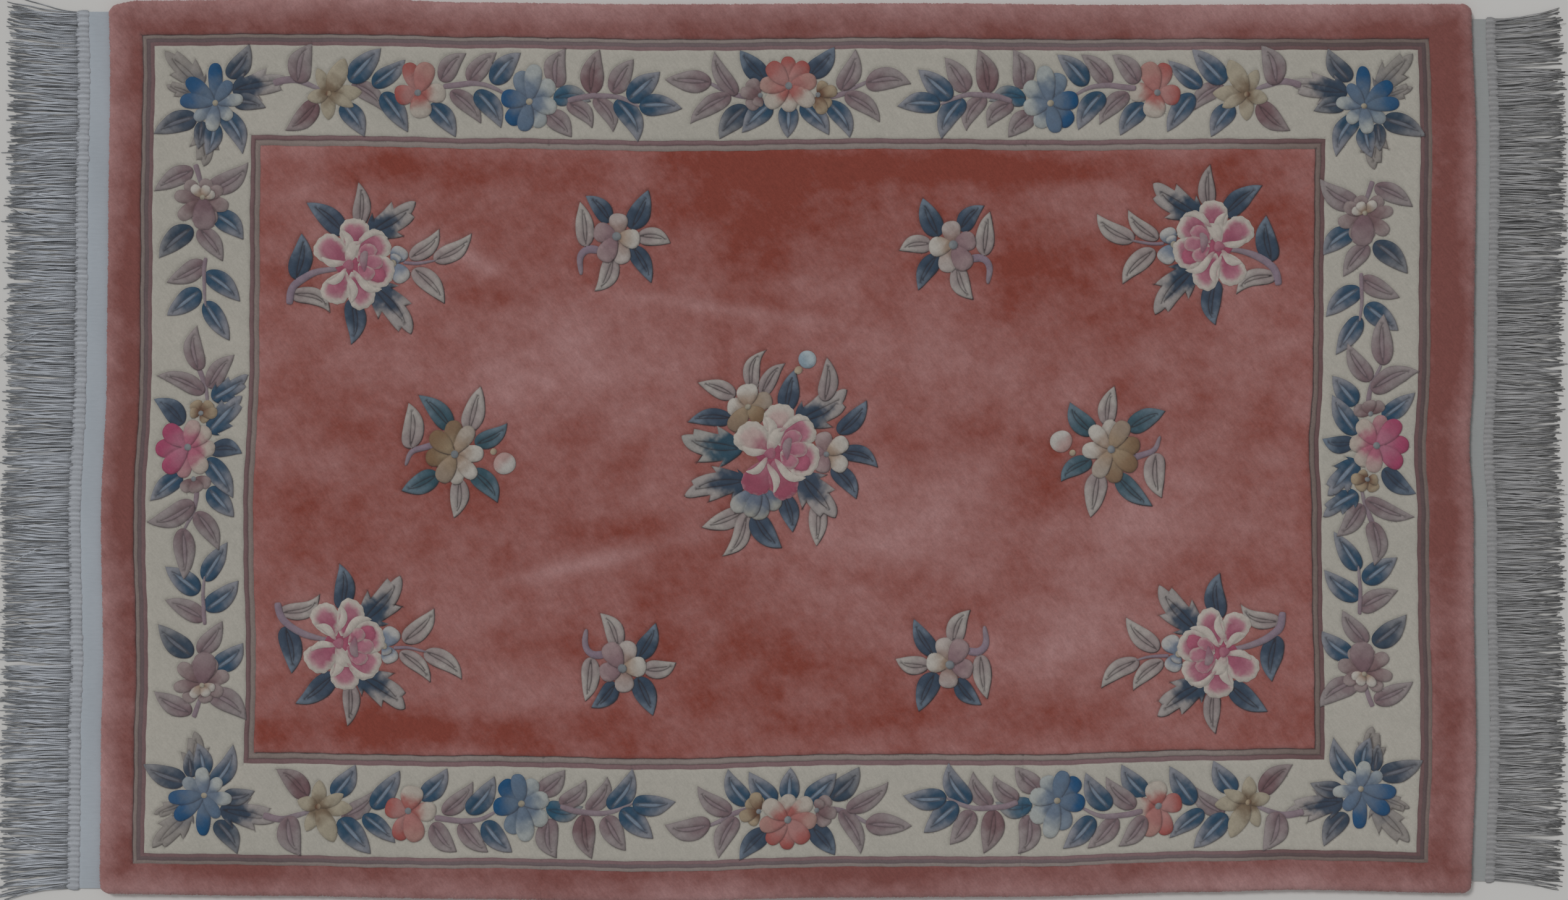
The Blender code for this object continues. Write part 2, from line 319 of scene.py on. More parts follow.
@dataclass
class Patch:
    """One dyed piece of the design: a leaf, a petal, a bud or a length of stem, in metres."""

    base: Points
    tip: Points
    half: float
    bow: float
    form: Form
    dye: Dye
    ribbed: bool = False
    ruffle: float = 0.0
    flip: float = 1.0
    route: Points | None = None

    SPACING = 2.1 * MM
    LEAN_SCALE = 5.38
    LOBES = 2.8
    LOBE_PHASES = (0.22, 0.68)
    LOBE_SWEEP = 0.1
    LOBE_WIDTH = 0.46
    PLAIN_LOBE = 0.65
    RUFFLES = 13
    RUFFLE_MIDDLE = 0.55
    RUFFLE_REACH = (2.6, 1.6)
    STEM_TAPER = 0.72
    RIB = (0.06, 0.8)
    RIB_WIDTH = 0.19

    def __post_init__(self) -> None:
        """Work out the piece's own axes."""
        line = self.tip - self.base
        self.length = float(np.hypot(*line))
        self.axis = line / self.length
        self.side = np.array((-self.axis[1], self.axis[0])) * self.flip
        self.edge = wandering(self.outline() if self.route is None else self.ribbon())
        self.low, self.high = self.edge.min(axis=0), self.edge.max(axis=0)

    def lean(self, along: Points) -> Points:
        """Return how far the middle line bows to the side, by the whole bow at 0.6 of the length."""
        inner = np.clip(along, 0, 1)
        return self.bow * self.length * self.LEAN_SCALE * inner**1.5 * (1 - inner)

    def place(self, along: Points, sideways: Points) -> Points:
        """Return points at shares of the length and distances from the middle line."""
        offset = (self.lean(along) + sideways)[:, None]
        return self.base + self.axis * (along * self.length)[:, None] + self.side * offset

    def outline(self) -> Points:
        """Return the closed outline."""
        count = max(7, int(self.length / self.SPACING))
        along = (1 - np.cos(np.linspace(0, math.pi, count))) / 2
        width = self.half * self.form.width(along)
        lobe = np.full(count, self.PLAIN_LOBE)
        sides = []
        for hand, phase in zip((1, -1), self.LOBE_PHASES):
            if self.form is Form.JAGGED:
                lobe = ((self.LOBES * along + phase) % 1) ** 1.5
            forward = self.LOBE_SWEEP * (lobe - self.PLAIN_LOBE) * np.sin(math.pi * along)
            sides.append(self.place(along + forward, hand * width * (0.7 + self.LOBE_WIDTH * lobe)))
        edge = np.concatenate((sides[0], sides[1][-2:0:-1]))
        if self.ruffle:
            middle = self.base + self.RUFFLE_MIDDLE * self.length * self.axis
            out = edge - middle
            angle = np.arctan2(out @ self.side, out @ self.axis)
            scallop = np.sqrt(np.sin(0.5 * self.RUFFLES * angle + 0.4) ** 2 + 0.08) - 0.65
            ruffled = self.ruffle * scallop * smooth(*self.RUFFLE_REACH, np.abs(angle))
            edge = middle + out * (1 + ruffled)[:, None]
        return edge

    def ribbon(self) -> Points:
        """Return the closed outline of a stem that follows its route."""
        ahead = np.gradient(self.route, axis=0)
        across = np.column_stack((-ahead[:, 1], ahead[:, 0])) / np.hypot(*ahead.T)[:, None]
        share = np.linspace(0, 1, len(self.route))
        width = self.half * (1 - self.STEM_TAPER * share**3) * (1 - np.abs(2 * share - 1) ** 7) ** 0.5
        offset = across * width[:, None]
        return np.concatenate((self.route + offset, (self.route - offset)[-2:0:-1]))

    def ribs(self) -> list[Points]:
        """Return the carved lines that draw a leaf's lens-shaped midrib."""
        if not self.ribbed:
            return []
        start, end = self.RIB
        along = np.linspace(start, end, max(5, int(0.7 * self.length / self.SPACING)))
        swell = np.abs(np.sin(math.pi * (along - start) / (end - start))) ** 0.7
        bulge = self.RIB_WIDTH * self.half * swell
        return [self.place(along, bulge), self.place(along[:-2], -bulge[:-2])]

    def local(self, points: Points) -> tuple[Points, Points]:
        """Return the share of the length and of the half-width at points."""
        away = points - self.base
        along = np.clip(away @ self.axis / self.length, 0, 1)
        width = np.maximum(self.half * self.form.width(np.clip(along, 0.02, 0.98)), 1 * MM)
        return along, (away @ self.side - self.lean(along)) / width

    def holds(self, points: Points) -> Points:
        """Return which points lie inside the outline."""
        inside = np.zeros(len(points), bool)
        near = np.all((points > self.low) & (points < self.high), axis=1)
        if not near.any():
            return inside
        x, y = points[near].T
        x0, y0 = self.edge[:, 0, None], self.edge[:, 1, None]
        x1, y1 = np.roll(self.edge, -1, axis=0).T[:, :, None]
        with np.errstate(divide="ignore", invalid="ignore"):
            crosses = ((y0 > y) != (y1 > y)) & (x < (x1 - x0) * (y - y0) / (y1 - y0) + x0)
        inside[near] = crosses.sum(axis=0) % 2 == 1
        return inside

    def depth(self, points: Points) -> Points:
        """Return how far points lie from the outline, in mm."""
        ends = self.edge[:, None, :] - points[None, :, :]
        return np.sqrt((ends**2).sum(axis=2)).min(axis=0) / MM

    def colours(self, points: Points) -> Points:
        """Return the dyed colour at points inside the piece."""
        along, across = self.local(points)
        return self.dye.at(along, across, self.depth(points), mottled(points))


@dataclass(frozen=True)
class Setting:
    """Where a group of the design is set into the rug, and whether it is turned over."""

    at: Point
    flip_x: int = 1
    flip_y: int = 1

    def put(self, point: Point) -> Points:
        """Return where a point of the group lies in the straight design, in metres."""
        centre = straightened(np.array([self.at]) * MM)[0]
        return centre + np.array((self.flip_x * point[0], self.flip_y * point[1])) * MM


@dataclass(frozen=True)
class Leaf:
    """A leaf, bud or single petal, in mm from its group's middle."""

    base: Point
    tip: Point
    half: float
    dye: Dye
    bow: float = 0.0
    form: Form = Form.LEAF
    ruffle: float = 0.0

    def patches(self, setting: Setting) -> list[Patch]:
        """Return the leaf's patch where a group is set."""
        ribbed = self.form in (Form.LEAF, Form.JAGGED)
        return [Patch(setting.put(self.base), setting.put(self.tip), self.half * MM, self.bow, self.form,
                      self.dye, ribbed, self.ruffle, setting.flip_x * setting.flip_y)]


@dataclass(frozen=True)
class Bud:
    """A round bud or a flower's heart."""

    at: Point
    radius: float
    dye: Dye
    leaning: float = 0.0

    def patches(self, setting: Setting) -> list[Patch]:
        """Return the bud's patch where a group is set."""
        angle = math.radians(self.leaning)
        step = (self.radius * math.cos(angle), self.radius * math.sin(angle))
        base, tip = ((self.at[0] + hand * step[0], self.at[1] + hand * step[1]) for hand in (-1, 1))
        return [Patch(setting.put(base), setting.put(tip), self.radius * MM, 0, Form.ROUND, self.dye)]


@dataclass(frozen=True)
class Stem:
    """A curved stem that runs through a few points."""

    points: tuple[Point, ...]
    half: float
    dye: Dye = BORDER_STEM

    SLIMMING = 0.88

    def patches(self, setting: Setting) -> list[Patch]:
        """Return the stem's patch where a group is set."""
        route = rounded(np.array([setting.put(point) for point in self.points]))
        half = self.SLIMMING * self.half * MM
        return [Patch(route[0], route[-1], half, 0, Form.ROUND, self.dye, route=route)]


@dataclass(frozen=True)
class Flower:
    """An open flower: petals from its heart to their tips, vivid on one side and faded on the other."""

    heart: Point
    tips: tuple[Triple, ...]
    vivid: Dye
    faded: Dye | None = None
    facing: float = 90.0
    heart_radius: float = 4.5
    heart_dye: Dye = HEART_GREY
    form: Form = Form.PETAL

    TURNING = (-0.8, 0.6)

    def patches(self, setting: Setting) -> list[Patch]:
        """Return the flower's patches where a group is set: every second petal lies over the rest."""
        made = []
        for x, y, half in (*self.tips[::2], *self.tips[1::2]):
            angle = math.atan2(y - self.heart[1], x - self.heart[0]) - math.radians(self.facing)
            share = float(smooth(*self.TURNING, np.array(-math.cos(angle))))
            dye = self.vivid.blended(self.faded, share) if self.faded else self.vivid
            made.append(Patch(setting.put(self.heart), setting.put((x, y)), half * MM, 0, self.form,
                              dye, flip=setting.flip_x * setting.flip_y))
        if self.heart_radius:
            made += Bud(self.heart, self.heart_radius, self.heart_dye).patches(setting)
        return made


PETAL_RUFFLE = 0.075
CURL_RUFFLE = 0.04


def peony(x: float, y: float, size: float = 1.0, upper: Dye = PEONY,
          lower: Dye = PEONY) -> list[Leaf]:
    """Return the petals of a full-blown peony, outermost first.

    Args:
        x: how far its middle lies to the right of the group's, in mm.
        y: how far it lies above.
        size: its size against the corner bouquets' peony.
        upper: the dye of its two upper petals.
        lower: the dye of its two lower petals.

    Returns:
        The petals in the order in which they lie over each other.
    """

    def petal(base: Point, tip: Point, half: float, dye: Dye, bow: float = 0.0) -> Leaf:
        """Return one ruffled petal."""
        ends = [(x + size * px, y + size * py) for px, py in (base, tip)]
        form, ruffle = (Form.CURLED, CURL_RUFFLE) if dye is CURL else (Form.RUFFLED, PETAL_RUFFLE)
        return Leaf(*ends, half * size, dye, bow, form, ruffle)

    return [
        petal((-28, -4), (22, -4), 25, PEONY_DEEP),
        petal((-3, 8), (3, 60), 20, upper, 0.03),
        petal((-8, 0), (-54, 26), 20, upper, -0.06),
        petal((-12, -12), (-38, -52), 19, lower, 0.05),
        petal((-5, -12), (13, -62), 18, lower, 0.05),
        petal((-12, -1), (-46, 8), 5, CURL, 0.14),
        petal((-11, 2), (-19, 44), 6, CURL, -0.2),
        petal((-12, -8), (-40, -26), 5, CURL, 0.18),
        petal((-12, -16), (-5, -54), 5, CURL, 0.18),
        petal((0, 8), (46, 30), 22, PEONY, 0.06),
        petal((4, -2), (53, -15), 22, PEONY, -0.04),
        petal((6, -8), (41, -21), 11, PEONY_DEEP, 0.05),
        petal((3, 2), (29, 21), 10, PEONY_HEART, 0.08),
        petal((6, -1), (38, 2), 10, PEONY_HEART),
        petal((4, -4), (26, -19), 9, PEONY_HEART, -0.05),
        petal((-3, -10), (37, -36), 5.5, CURL, -0.18),
        petal((-9, 2), (7, 28), 8, CURL, 0.12),
        petal((2, 24), (40, 38), 4, CURL, 0.2),
        petal((-17, -4), (-2, -2), 7, PEONY_HUB),
        petal((13, -12), (15, 16), 5.5, PEONY_CORE, 0.1),
    ]


JAG = Form.JAGGED

CORNER_BOUQUET = [
    Leaf((7, 50), (4, 109), 12, GREY, -0.06),
    Leaf((-14, 40), (-66, 80), 15, SLATE, -0.05),
    Leaf((-80, -24), (-73, 39), 15.5, SLATE, -0.065),
    Leaf((-3, -48), (-5, -111), 14.5, SLATE, 0.1),
    Leaf((18, 38), (82, 84), 22, JAGGED, -0.05, JAG),
    Leaf((22, -28), (77, -95), 23, JAGGED, 0.05, JAG),
    Leaf((108, 5), (158, 43), 13, PALE, -0.1),
    Leaf((75, 7), (115, 48), 12, PALE, -0.1),
    Leaf((80, -6), (122, -52), 14, PALE, 0.07),
    Stem(((66, 2), (88, 1), (110, 6)), 2.6, STEM),
    Leaf((-86, -42), (-33, -68), 12.5, PALE, 0.17),
    Stem(((-90, -57), (-87, -36), (-74, -24), (-56, -14), (-38, -9), (-20, -8)), 6.2, STEM),
    Flower((52, 0), ((65, 22, 12), (69, -24, 13), (58, 12, 8)), SKY_PETAL, heart_radius=5,
           heart_dye=HEART_CREAM),
    *peony(0, 0),
]

CENTRE_BOUQUET = [
    Leaf((-47, 84), (-27, 139), 12, PALE, 0.18),
    Leaf((-33, 78), (-1, 121), 11.5, GREY, 0.09),
    Leaf((-68, 78), (-119, 97), 12, PALE, -0.04),
    Leaf((-70, 48), (-131, 43), 12.5, SLATE, -0.08),
    Leaf((-54, 5), (-138, 25), 25, JAGGED_TEAL, 0.055, JAG),
    Leaf((-48, -37), (-132, -56), 22, JAGGED, -0.07, JAG),
    Leaf((-52, -80), (-109, -99), 13.5, PALE, 0.03),
    Leaf((-47, -82), (-82, -139), 12.5, PALE, 0.14),
    Leaf((-40, -84), (0, -130), 15, SLATE, -0.07),
    Leaf((2, -56), (14, -109), 13.5, SLATE, 0.05),
    Leaf((49, -70), (46, -129), 13, PALE, 0.02),
    Leaf((26, -32), (73, -90), 24, JAGGED, 0.0, JAG),
    Leaf((70, -20), (101, -65), 13.5, SLATE, 0.08),
    Leaf((80, 1), (131, -22), 12.5, SLATE, 0.13),
    Leaf((77, 24), (111, 69), 13.5, SLATE, -0.08),
    Leaf((18, 40), (83, 83), 24, JAGGED, -0.09, JAG),
    Leaf((55, 68), (56, 127), 13, GREY, -0.055),
    Leaf((2, 54), (12, 112), 14.5, SLATE, 0.02),
    Bud((17, 111), 5.5, CALYX, 50),
    Bud((29, 125), 12.5, BUD_SKY, 45),
    Flower((-50, 63), ((-78, 64, 12), (-53, 94, 15), (-18, 74, 12.5), (-28, 44, 11), (-70, 32, 13)),
           TAN_PETAL, CREAM_PETAL, -60, 4, HEART_CREAM),
    Flower((61, -4), ((54, 27, 12), (89, 16, 12), (88, -24, 12.5), (52, -29, 11), (38, -3, 11)),
           CREAM_PETAL, LILAC_PETAL, 0, 4),
    Flower((-30, -50), ((-68, -76, 13), (-31, -91, 14), (-4, -76, 12), (-46, -86, 11)), MIST_PETAL,
           SKY_PETAL, -60, 5, HEART_CREAM),
    *peony(-6, 2, 1.06, PEONY_PALE, PEONY_BARE),
]

SMALL_SPRAY = [
    Leaf((-9, 20), (-43, 54), 13, SLATE, -0.08),
    Leaf((19, 11), (41, 63), 15, SLATE, -0.03),
    Leaf((28, 2), (72, -8), 13, PALE, 0.09),
    Leaf((20, -12), (46, -62), 13, SLATE, 0.05),
    Leaf((-5, -28), (-30, -74), 13.5, PALE, 0.11),
    Leaf((-43, -14), (-51, 46), 13, PALE, -0.03),
    Stem(((-26, -19), (-42, -17), (-52, -28), (-49, -53)), 6.2, STEM),
    Flower((-1, 0), ((3, 32, 13), (31, -4, 13.5), (9, -37, 13), (-22, -33, 13.5), (-32, 8, 13.5)),
           CREAM_PETAL, LILAC_PETAL, 0, 6.2),
]

SIDE_SPRAY = [
    Leaf((-5, 34), (-53, 78), 14, STEEL, -0.05),
    Leaf((18, 30), (30, 91), 15, PALE, 0.0),
    Leaf((28, 12), (69, 41), 13, STEEL, -0.1),
    Leaf((25, -22), (60, -67), 14.5, STEEL, 0.09),
    Leaf((8, -34), (1, -87), 13, PALE, 0.07),
    Leaf((-21, -28), (-71, -52), 15, STEEL, 0.04),
    Leaf((-60, 6), (-67, 67), 15, PALE, -0.09),
    Stem(((-28, 12), (-44, 8), (-60, 2), (-66, -17)), 5.0, STEM),
    Bud((53, 3), 4.5, CALYX, 50),
    Bud((69, -13), 15, BUD_PETAL, -50),
    Flower((0, -1), ((-4, 45, 13), (22, 37, 11.5), (40, 0, 12), (29, -33, 10.5), (5, -42, 10.5),
                     (-18, -38, 13), (-39, -6, 13), (-33, 27, 13)), CREAM_PETAL, TAN_PETAL, -20, 5.5),
]

CORNER_CLUSTER = [
    Leaf((-18, 22), (-69, 71), 19, JAGGED_GREY, 0.0, JAG),
    Leaf((-30, 12), (-68, 26), 11, JAGGED_GREY, 0.0, JAG),
    Leaf((-16, -30), (-14, -86), 18, JAGGED_GREY, 0.05, JAG),
    Leaf((18, 34), (46, 79), 14.5, DUSK, -0.08),
    Leaf((22, 18), (100, 32), 20, JAGGED, 0.0, JAG),
    Leaf((24, 4), (68, -6), 12, DUSK, 0.05),
    Leaf((-26, -17), (-83, -41), 15.5, DUSK, -0.05),
    Leaf((10, -10), (38, -69), 14, BLUE, 0.1),
    Leaf((-18, -24), (-22, -62), 10, DUSK, 0.0),
    Leaf((0, -26), (-11, -70), 13, BLUE, 0.05),
    Flower((0, 0), ((-1, 55, 10), (37, 6, 9), (22, -22, 9), (-5, -38, 10), (-28, -22, 9), (-49, 5, 10.5),
                    (-39, 33, 11), (20, 30, 9)), VIVID_BLUE, FADED_BLUE, 125, 4, HEART_CREAM),
]

STAR_AND_CORAL = [
    Stem(((-100, 12), (-84, 17), (-68, 17), (-52, 11), (-36, 5)), 5.5),
    Leaf((-67, 13), (-47, 66), 17, MAUVE, 0.12),
    Leaf((-39, -14), (-83, -51), 14.5, PLUM, 0.07),
    Leaf((8, 14), (51, -25), 13, MAUVE, 0.1),
    Leaf((4, 15), (47, 61), 16, BLUE, 0.0),
    Leaf((36, 9), (80, 46), 13, BLUE, -0.03),
    Leaf((-5, -14), (25, -59), 14.5, BLUE, 0.05),
    Leaf((49, 0), (84, -52), 14.5, BLUE, 0.03),
    Leaf((115, -12), (149, -56), 14.5, BLUE, 0.06),
    Flower((-25, -1), ((-40, 33, 9), (-2, 46, 13), (21, 1, 11), (9, -18, 8), (-24, -37, 10),
                       (-53, -9, 10)), STRAW, None, 90, 4, AMBER, Form.POINTED),
    Flower((97, 2), ((83, 42, 12), (111, 43, 14), (135, 3, 13), (104, -32, 15), (66, -4, 14)),
           VIVID_CORAL, FADED_CORAL, 150, 4.5),
]

BLUE_BRANCH = [
    Leaf((-158, 14), (-123, 52), 14, MAUVE, 0.08),
    Leaf((-120, 13), (-81, 53), 14, MAUVE, 0.05),
    Leaf((-88, 12), (-48, 52), 15.5, BLUE, 0.05),
    Leaf((-143, 1), (-103, -43), 13, MAUVE, 0.08),
    Stem(((-154, 6), (-134, 9), (-112, 11), (-92, 9), (-68, -4)), 4.6),
    Leaf((-108, 1), (-75, -50), 15, BLUE, 0.08),
    Leaf((-1, 6), (13, 59), 16, MAUVE, 0.14),
    Leaf((-12, -27), (21, -60), 14.5, MAUVE, 0.05),
    Leaf((-4, -7), (47, -12), 14.5, TEAL, 0.12),
    Leaf((17, -13), (49, -48), 13, MAUVE, 0.14),
    Leaf((54, -5), (78, -53), 12.5, MAUVE, 0.13),
    Leaf((47, -1), (60, 58), 16, PLUM, 0.07),
    Leaf((76, 1), (106, 46), 15, MAUVE, 0.03),
    Leaf((83, -8), (112, -65), 15, BLUE, 0.11),
    Stem(((16, -12), (38, -5), (62, -3), (86, -4), (114, -18)), 4.6),
    Leaf((98, -9), (142, 30), 16, BLUE, 0.0),
    Leaf((113, -16), (172, -20), 15, BLUE, 0.05),
    Flower((-37, -13), ((-51, 27, 13), (-28, 37, 12), (-3, 13, 13), (0, -22, 12), (-19, -47, 12),
                        (-44, -54, 11), (-65, -43, 13), (-75, -8, 13)), VIVID_BLUE, FADED_BLUE, 190,
           4.5, HEART_CREAM),
]

LONG_MIDDLE = [
    Stem(((-56, -6), (-76, -2), (-94, 7), (-112, 16)), 4.2),
    Stem(((56, -8), (76, -2), (94, 8), (112, 16)), 4.2),
    Leaf((-72, -3), (-100, 56), 12.5, MAUVE, 0.085),
    Leaf((-106, 15), (-168, 19), 15, MAUVE, 0.0),
    Leaf((-80, -2), (-134, -41), 13, MAUVE, -0.08),
    Leaf((72, 2), (92, 57), 14, MAUVE, -0.085),
    Leaf((105, 13), (167, 10), 16, MAUVE, 0.11),
    Leaf((78, -2), (124, -41), 13.5, MAUVE, 0.095),
    Leaf((-58, -18), (-94, -61), 16, DUSK, -0.065),
    Leaf((-24, -14), (-64, -53), 15, BLUE, -0.03),
    Leaf((18, -14), (55, -58), 14, BLUE, 0.05),
    Leaf((55, -13), (83, -63), 14, BLUE, 0.1),
    Leaf((0, -16), (-1, -62), 14, BLUE, 0.0),
    Leaf((-32, 18), (-65, 58), 14.5, SLATE, 0.03),
    Leaf((28, 20), (64, 61), 14.5, SLATE, -0.05),
    Flower((-38, -3), ((-54, 18, 10), (-66, 2, 9), (-56, -21, 10), (-44, -18, 8)), MAUVE_BLOOM,
           heart_radius=3.5),
    Flower((40, -4), ((50, 14, 8), (66, 3, 9), (57, -20, 8), (46, -30, 9), (38, -24, 7)), AMBER,
           heart_radius=3.5),
    Flower((0, 9), ((0, 49, 11), (38, 16, 12), (1, -26, 11), (-39, 12, 12), (26, 40, 11.5),
                    (33, -17, 12), (-30, -19, 12), (-27, 40, 12)), VIVID_CORAL, FADED_CORAL, 90, 5),
]

BELL_AND_BRANCH = [
    Stem(((-4, 128), (2, 112), (6, 96)), 4.0),
    Leaf((-7, 122), (-59, 93), 13.5, MAUVE, -0.05),
    Leaf((16, 92), (67, 131), 15.5, MAUVE, -0.1),
    Leaf((-8, 44), (-53, 2), 15.5, DUSK, -0.05),
    Leaf((24, 62), (62, 26), 15, BLUE, 0.08),
    Leaf((2, 42), (34, -3), 13.5, MAUVE, 0.05),
    Leaf((11, -6), (-42, -31), 14, MAUVE, 0.03),
    Leaf((12, -18), (58, -58), 14.5, BLUE, 0.05),
    Leaf((4, -42), (-41, -77), 15, BLUE, 0.0),
    Leaf((10, -58), (44, -110), 13.5, BLUE, 0.0),
    Stem(((11, 2), (9, -20), (9, -42), (11, -64)), 3.2),
    Flower((5, 80), ((-16, 106, 10), (14, 108, 10), (-32, 88, 9), (-26, 56, 10), (42, 70, 10),
                     (34, 96, 9), (-2, 48, 10), (22, 48, 11)), MAUVE_BLOOM, None, -90, 0),
    Leaf((6, 84), (10, 40), 16, BELL, 0.0, Form.PETAL, 0.05),
    Flower((6, 84), ((-8, 100, 7), (14, 99, 7), (24, 88, 6)), CREAM_PETAL, None, 90, 3.5, HEART_CREAM),
]

SHORT_MIDDLE = [
    Stem(((-4, 114), (3, 98), (9, 80), (11, 60)), 4.0),
    Stem(((0, -42), (4, -62), (0, -84), (-14, -112)), 3.8),
    Leaf((-2, 107), (-4, 168), 14, MAUVE, 0.11),
    Leaf((11, 84), (46, 129), 13.5, MAUVE, 0.05),
    Leaf((7, 79), (-59, 101), 12.5, MAUVE, -0.07),
    Leaf((1, -73), (-64, -98), 15.5, MAUVE, 0.1),
    Leaf((3, -84), (34, -136), 13.5, MAUVE, 0.05),
    Leaf((-15, -107), (-15, -176), 15, MAUVE, 0.03),
    Leaf((17, 68), (65, 102), 16, BLUE, -0.05, JAG),
    Leaf((15, 24), (58, 72), 18, BLUE, 0.0, JAG),
    Leaf((19, -52), (54, -91), 14.5, BLUE, 0.0),
    Leaf((16, -12), (53, -66), 14.5, BLUE, 0.03),
    Leaf((19, 1), (62, -5), 13, SLATE, 0.12),
    Leaf((-19, 36), (-62, 68), 14.5, SLATE, -0.09),
    Leaf((-19, -34), (-59, -70), 13.5, BLUE, -0.03),
    Flower((3, 50), ((-8, 66, 9), (-12, 50, 8), (17, 64, 9), (25, 50, 8), (12, 38, 7)), AMBER,
           heart_radius=3.5),
    Flower((-2, -40), ((-17, -55, 9), (4, -58, 10), (22, -47, 9)), MAUVE_BLOOM, heart_radius=3.5),
    Flower((-12, 3), ((-56, 2, 13), (-17, -38, 11), (26, 0, 12), (-5, 40, 11), (-45, 31, 13),
                      (13, -31, 12), (16, 29, 12), (-42, -30, 13)), VIVID_ROSE, FADED_ROSE, 180, 5),
]


def corners(group: list, places: Sequence[Point]) -> list[tuple[list, Setting]]:
    """Return a group's settings in four corners, each a mirror image of its neighbours.

    Args:
        group: the pieces of the group.
        places: its middle at the upper left, upper right, lower left and lower right, in mm.

    Returns:
        The group with each of its settings.
    """
    hands = ((1, 1), (-1, 1), (1, -1), (-1, -1))
    return [(group, Setting(at, *hand)) for at, hand in zip(places, hands)]


DESIGN = [
    *corners(CORNER_CLUSTER, ((-773, 471), (788, 468), (-788, -470), (784, -460))),
    *corners(STAR_AND_CORAL, ((-595, 486), (604, 484), (-608, -486), (607, -481))),
    *corners(BLUE_BRANCH, ((-310, 486), (325, 486), (-320, -496), (334, -490))),
    *corners(BELL_AND_BRANCH, ((-797, 259), (795, 239), (-798, -236), (793, -221))),
    (LONG_MIDDLE, Setting((6, 486))),
    (LONG_MIDDLE, Setting((6, -494), -1, -1)),
    (SHORT_MIDDLE, Setting((-799, 0))),
    (SHORT_MIDDLE, Setting((794, 10), -1, -1)),
    *corners(CORNER_BOUQUET, ((-583, 255), (583, 279), (-597, -265), (589, -278))),
    *corners(SMALL_SPRAY, ((-226, 290), (229, 279), (-219, -297), (224, -292))),
    (SIDE_SPRAY, Setting((-448, -5))),
    (SIDE_SPRAY, Setting((445, 0), -1, -1)),
    (CENTRE_BOUQUET, Setting((-3, -3))),
]


@dataclass(frozen=True)
class Stroke:
    """A patch of pile that has been brushed one way, shown with painted sheen: darker with the lay, paler
    against it.
    """

    at: Point
    length: float
    width: float
    turn: float
    strength: float

    def at_points(self, points: Points) -> Points:
        """Return how strongly the stroke shows at points, which are in metres."""
        angle = math.radians(self.turn)
        away = points / MM - np.array(self.at)
        along = away @ np.array((math.cos(angle), math.sin(angle))) / self.length
        across = away @ np.array((-math.sin(angle), math.cos(angle))) / self.width
        return self.strength * np.exp(-(along**2) - across**2)


# Patches of painted sheen on the brushed pile: darker where the strength is below 0, paler above.
STROKES = (
    Stroke((-30, 352), 150, 62, -4, -0.5), Stroke((-20, 270), 110, 40, -8, -0.3),
    Stroke((270, 384), 260, 24, 0, -0.45), Stroke((-530, 380), 190, 26, 0, -0.45),
    Stroke((-384, 210), 62, 22, 5, -0.45), Stroke((-20, -300), 95, 50, 0, -0.35),
    Stroke((40, -370), 90, 30, 0, -0.35), Stroke((-210, -102), 80, 20, 12, -0.45),
    Stroke((-640, -85), 60, 45, 0, -0.35), Stroke((-510, -382), 190, 24, 0, -0.45),
    Stroke((330, 262), 70, 60, 0, -0.35), Stroke((610, 330), 110, 50, 0, -0.35),
    Stroke((-437, 262), 62, 12, -24, 0.4), Stroke((-330, 112), 200, 55, 2, 0.2),
    Stroke((-240, -30), 90, 50, 0, 0.15), Stroke((215, 112), 130, 45, -5, 0.15),
    Stroke((618, -85), 130, 90, 0, 0.1), Stroke((165, -95), 90, 60, 0, 0.2),
    Stroke((-262, -150), 115, 11, 14, 0.45), Stroke((430, -262), 110, 60, 0, 0.15),
    Stroke((-60, 190), 170, 9, -9, 0.35), Stroke((-620, -230), 60, 40, 0, 0.25),
    Stroke((-300, -330), 110, 40, 0, 0.2), Stroke((560, 120), 120, 40, 5, 0.2),
    Stroke((-690, 60), 40, 120, 0, -0.1), Stroke((350, -60), 40, 80, -20, -0.2),
    Stroke((-905, 0), 24, 560, 0, -0.2), Stroke((912, 0), 26, 560, 0, -0.25),
    Stroke((0, -592), 880, 22, 0, -0.15),
)


# Finishes


class Signal:
    """A shader socket on which plain sums add Math nodes."""

    def __init__(self, bench: "Bench", socket: bpy.types.NodeSocket) -> None:
        """Wrap a socket of a bench's node tree."""
        self.bench, self.socket = bench, socket

    def _math(self, operation: str, first: Any, second: Any = 0.0) -> "Signal":
        """Add one Math node."""
        node = self.bench.add("ShaderNodeMath", {"operation": operation}, {0: first, 1: second})
        return Signal(self.bench, node.outputs[0])

    def __add__(self, other: Any) -> "Signal":
        """Return the sum."""
        return self._math("ADD", self, other)

    __radd__ = __add__

    def __mul__(self, other: Any) -> "Signal":
        """Return the product."""
        return self._math("MULTIPLY", self, other)

    __rmul__ = __mul__

    def __sub__(self, other: Any) -> "Signal":
        """Return the difference."""
        return self._math("SUBTRACT", self, other)

    def __rsub__(self, other: Any) -> "Signal":
        """Return the difference from a number."""
        return self._math("SUBTRACT", other, self)

    def sine(self) -> "Signal":
        """Return the sine."""
        return self._math("SINE", self)

    def limited(self) -> "Signal":
        """Return the value kept between 0 and 1."""
        node = self.bench.add("ShaderNodeClamp", {}, {"Value": self})
        return Signal(self.bench, node.outputs[0])


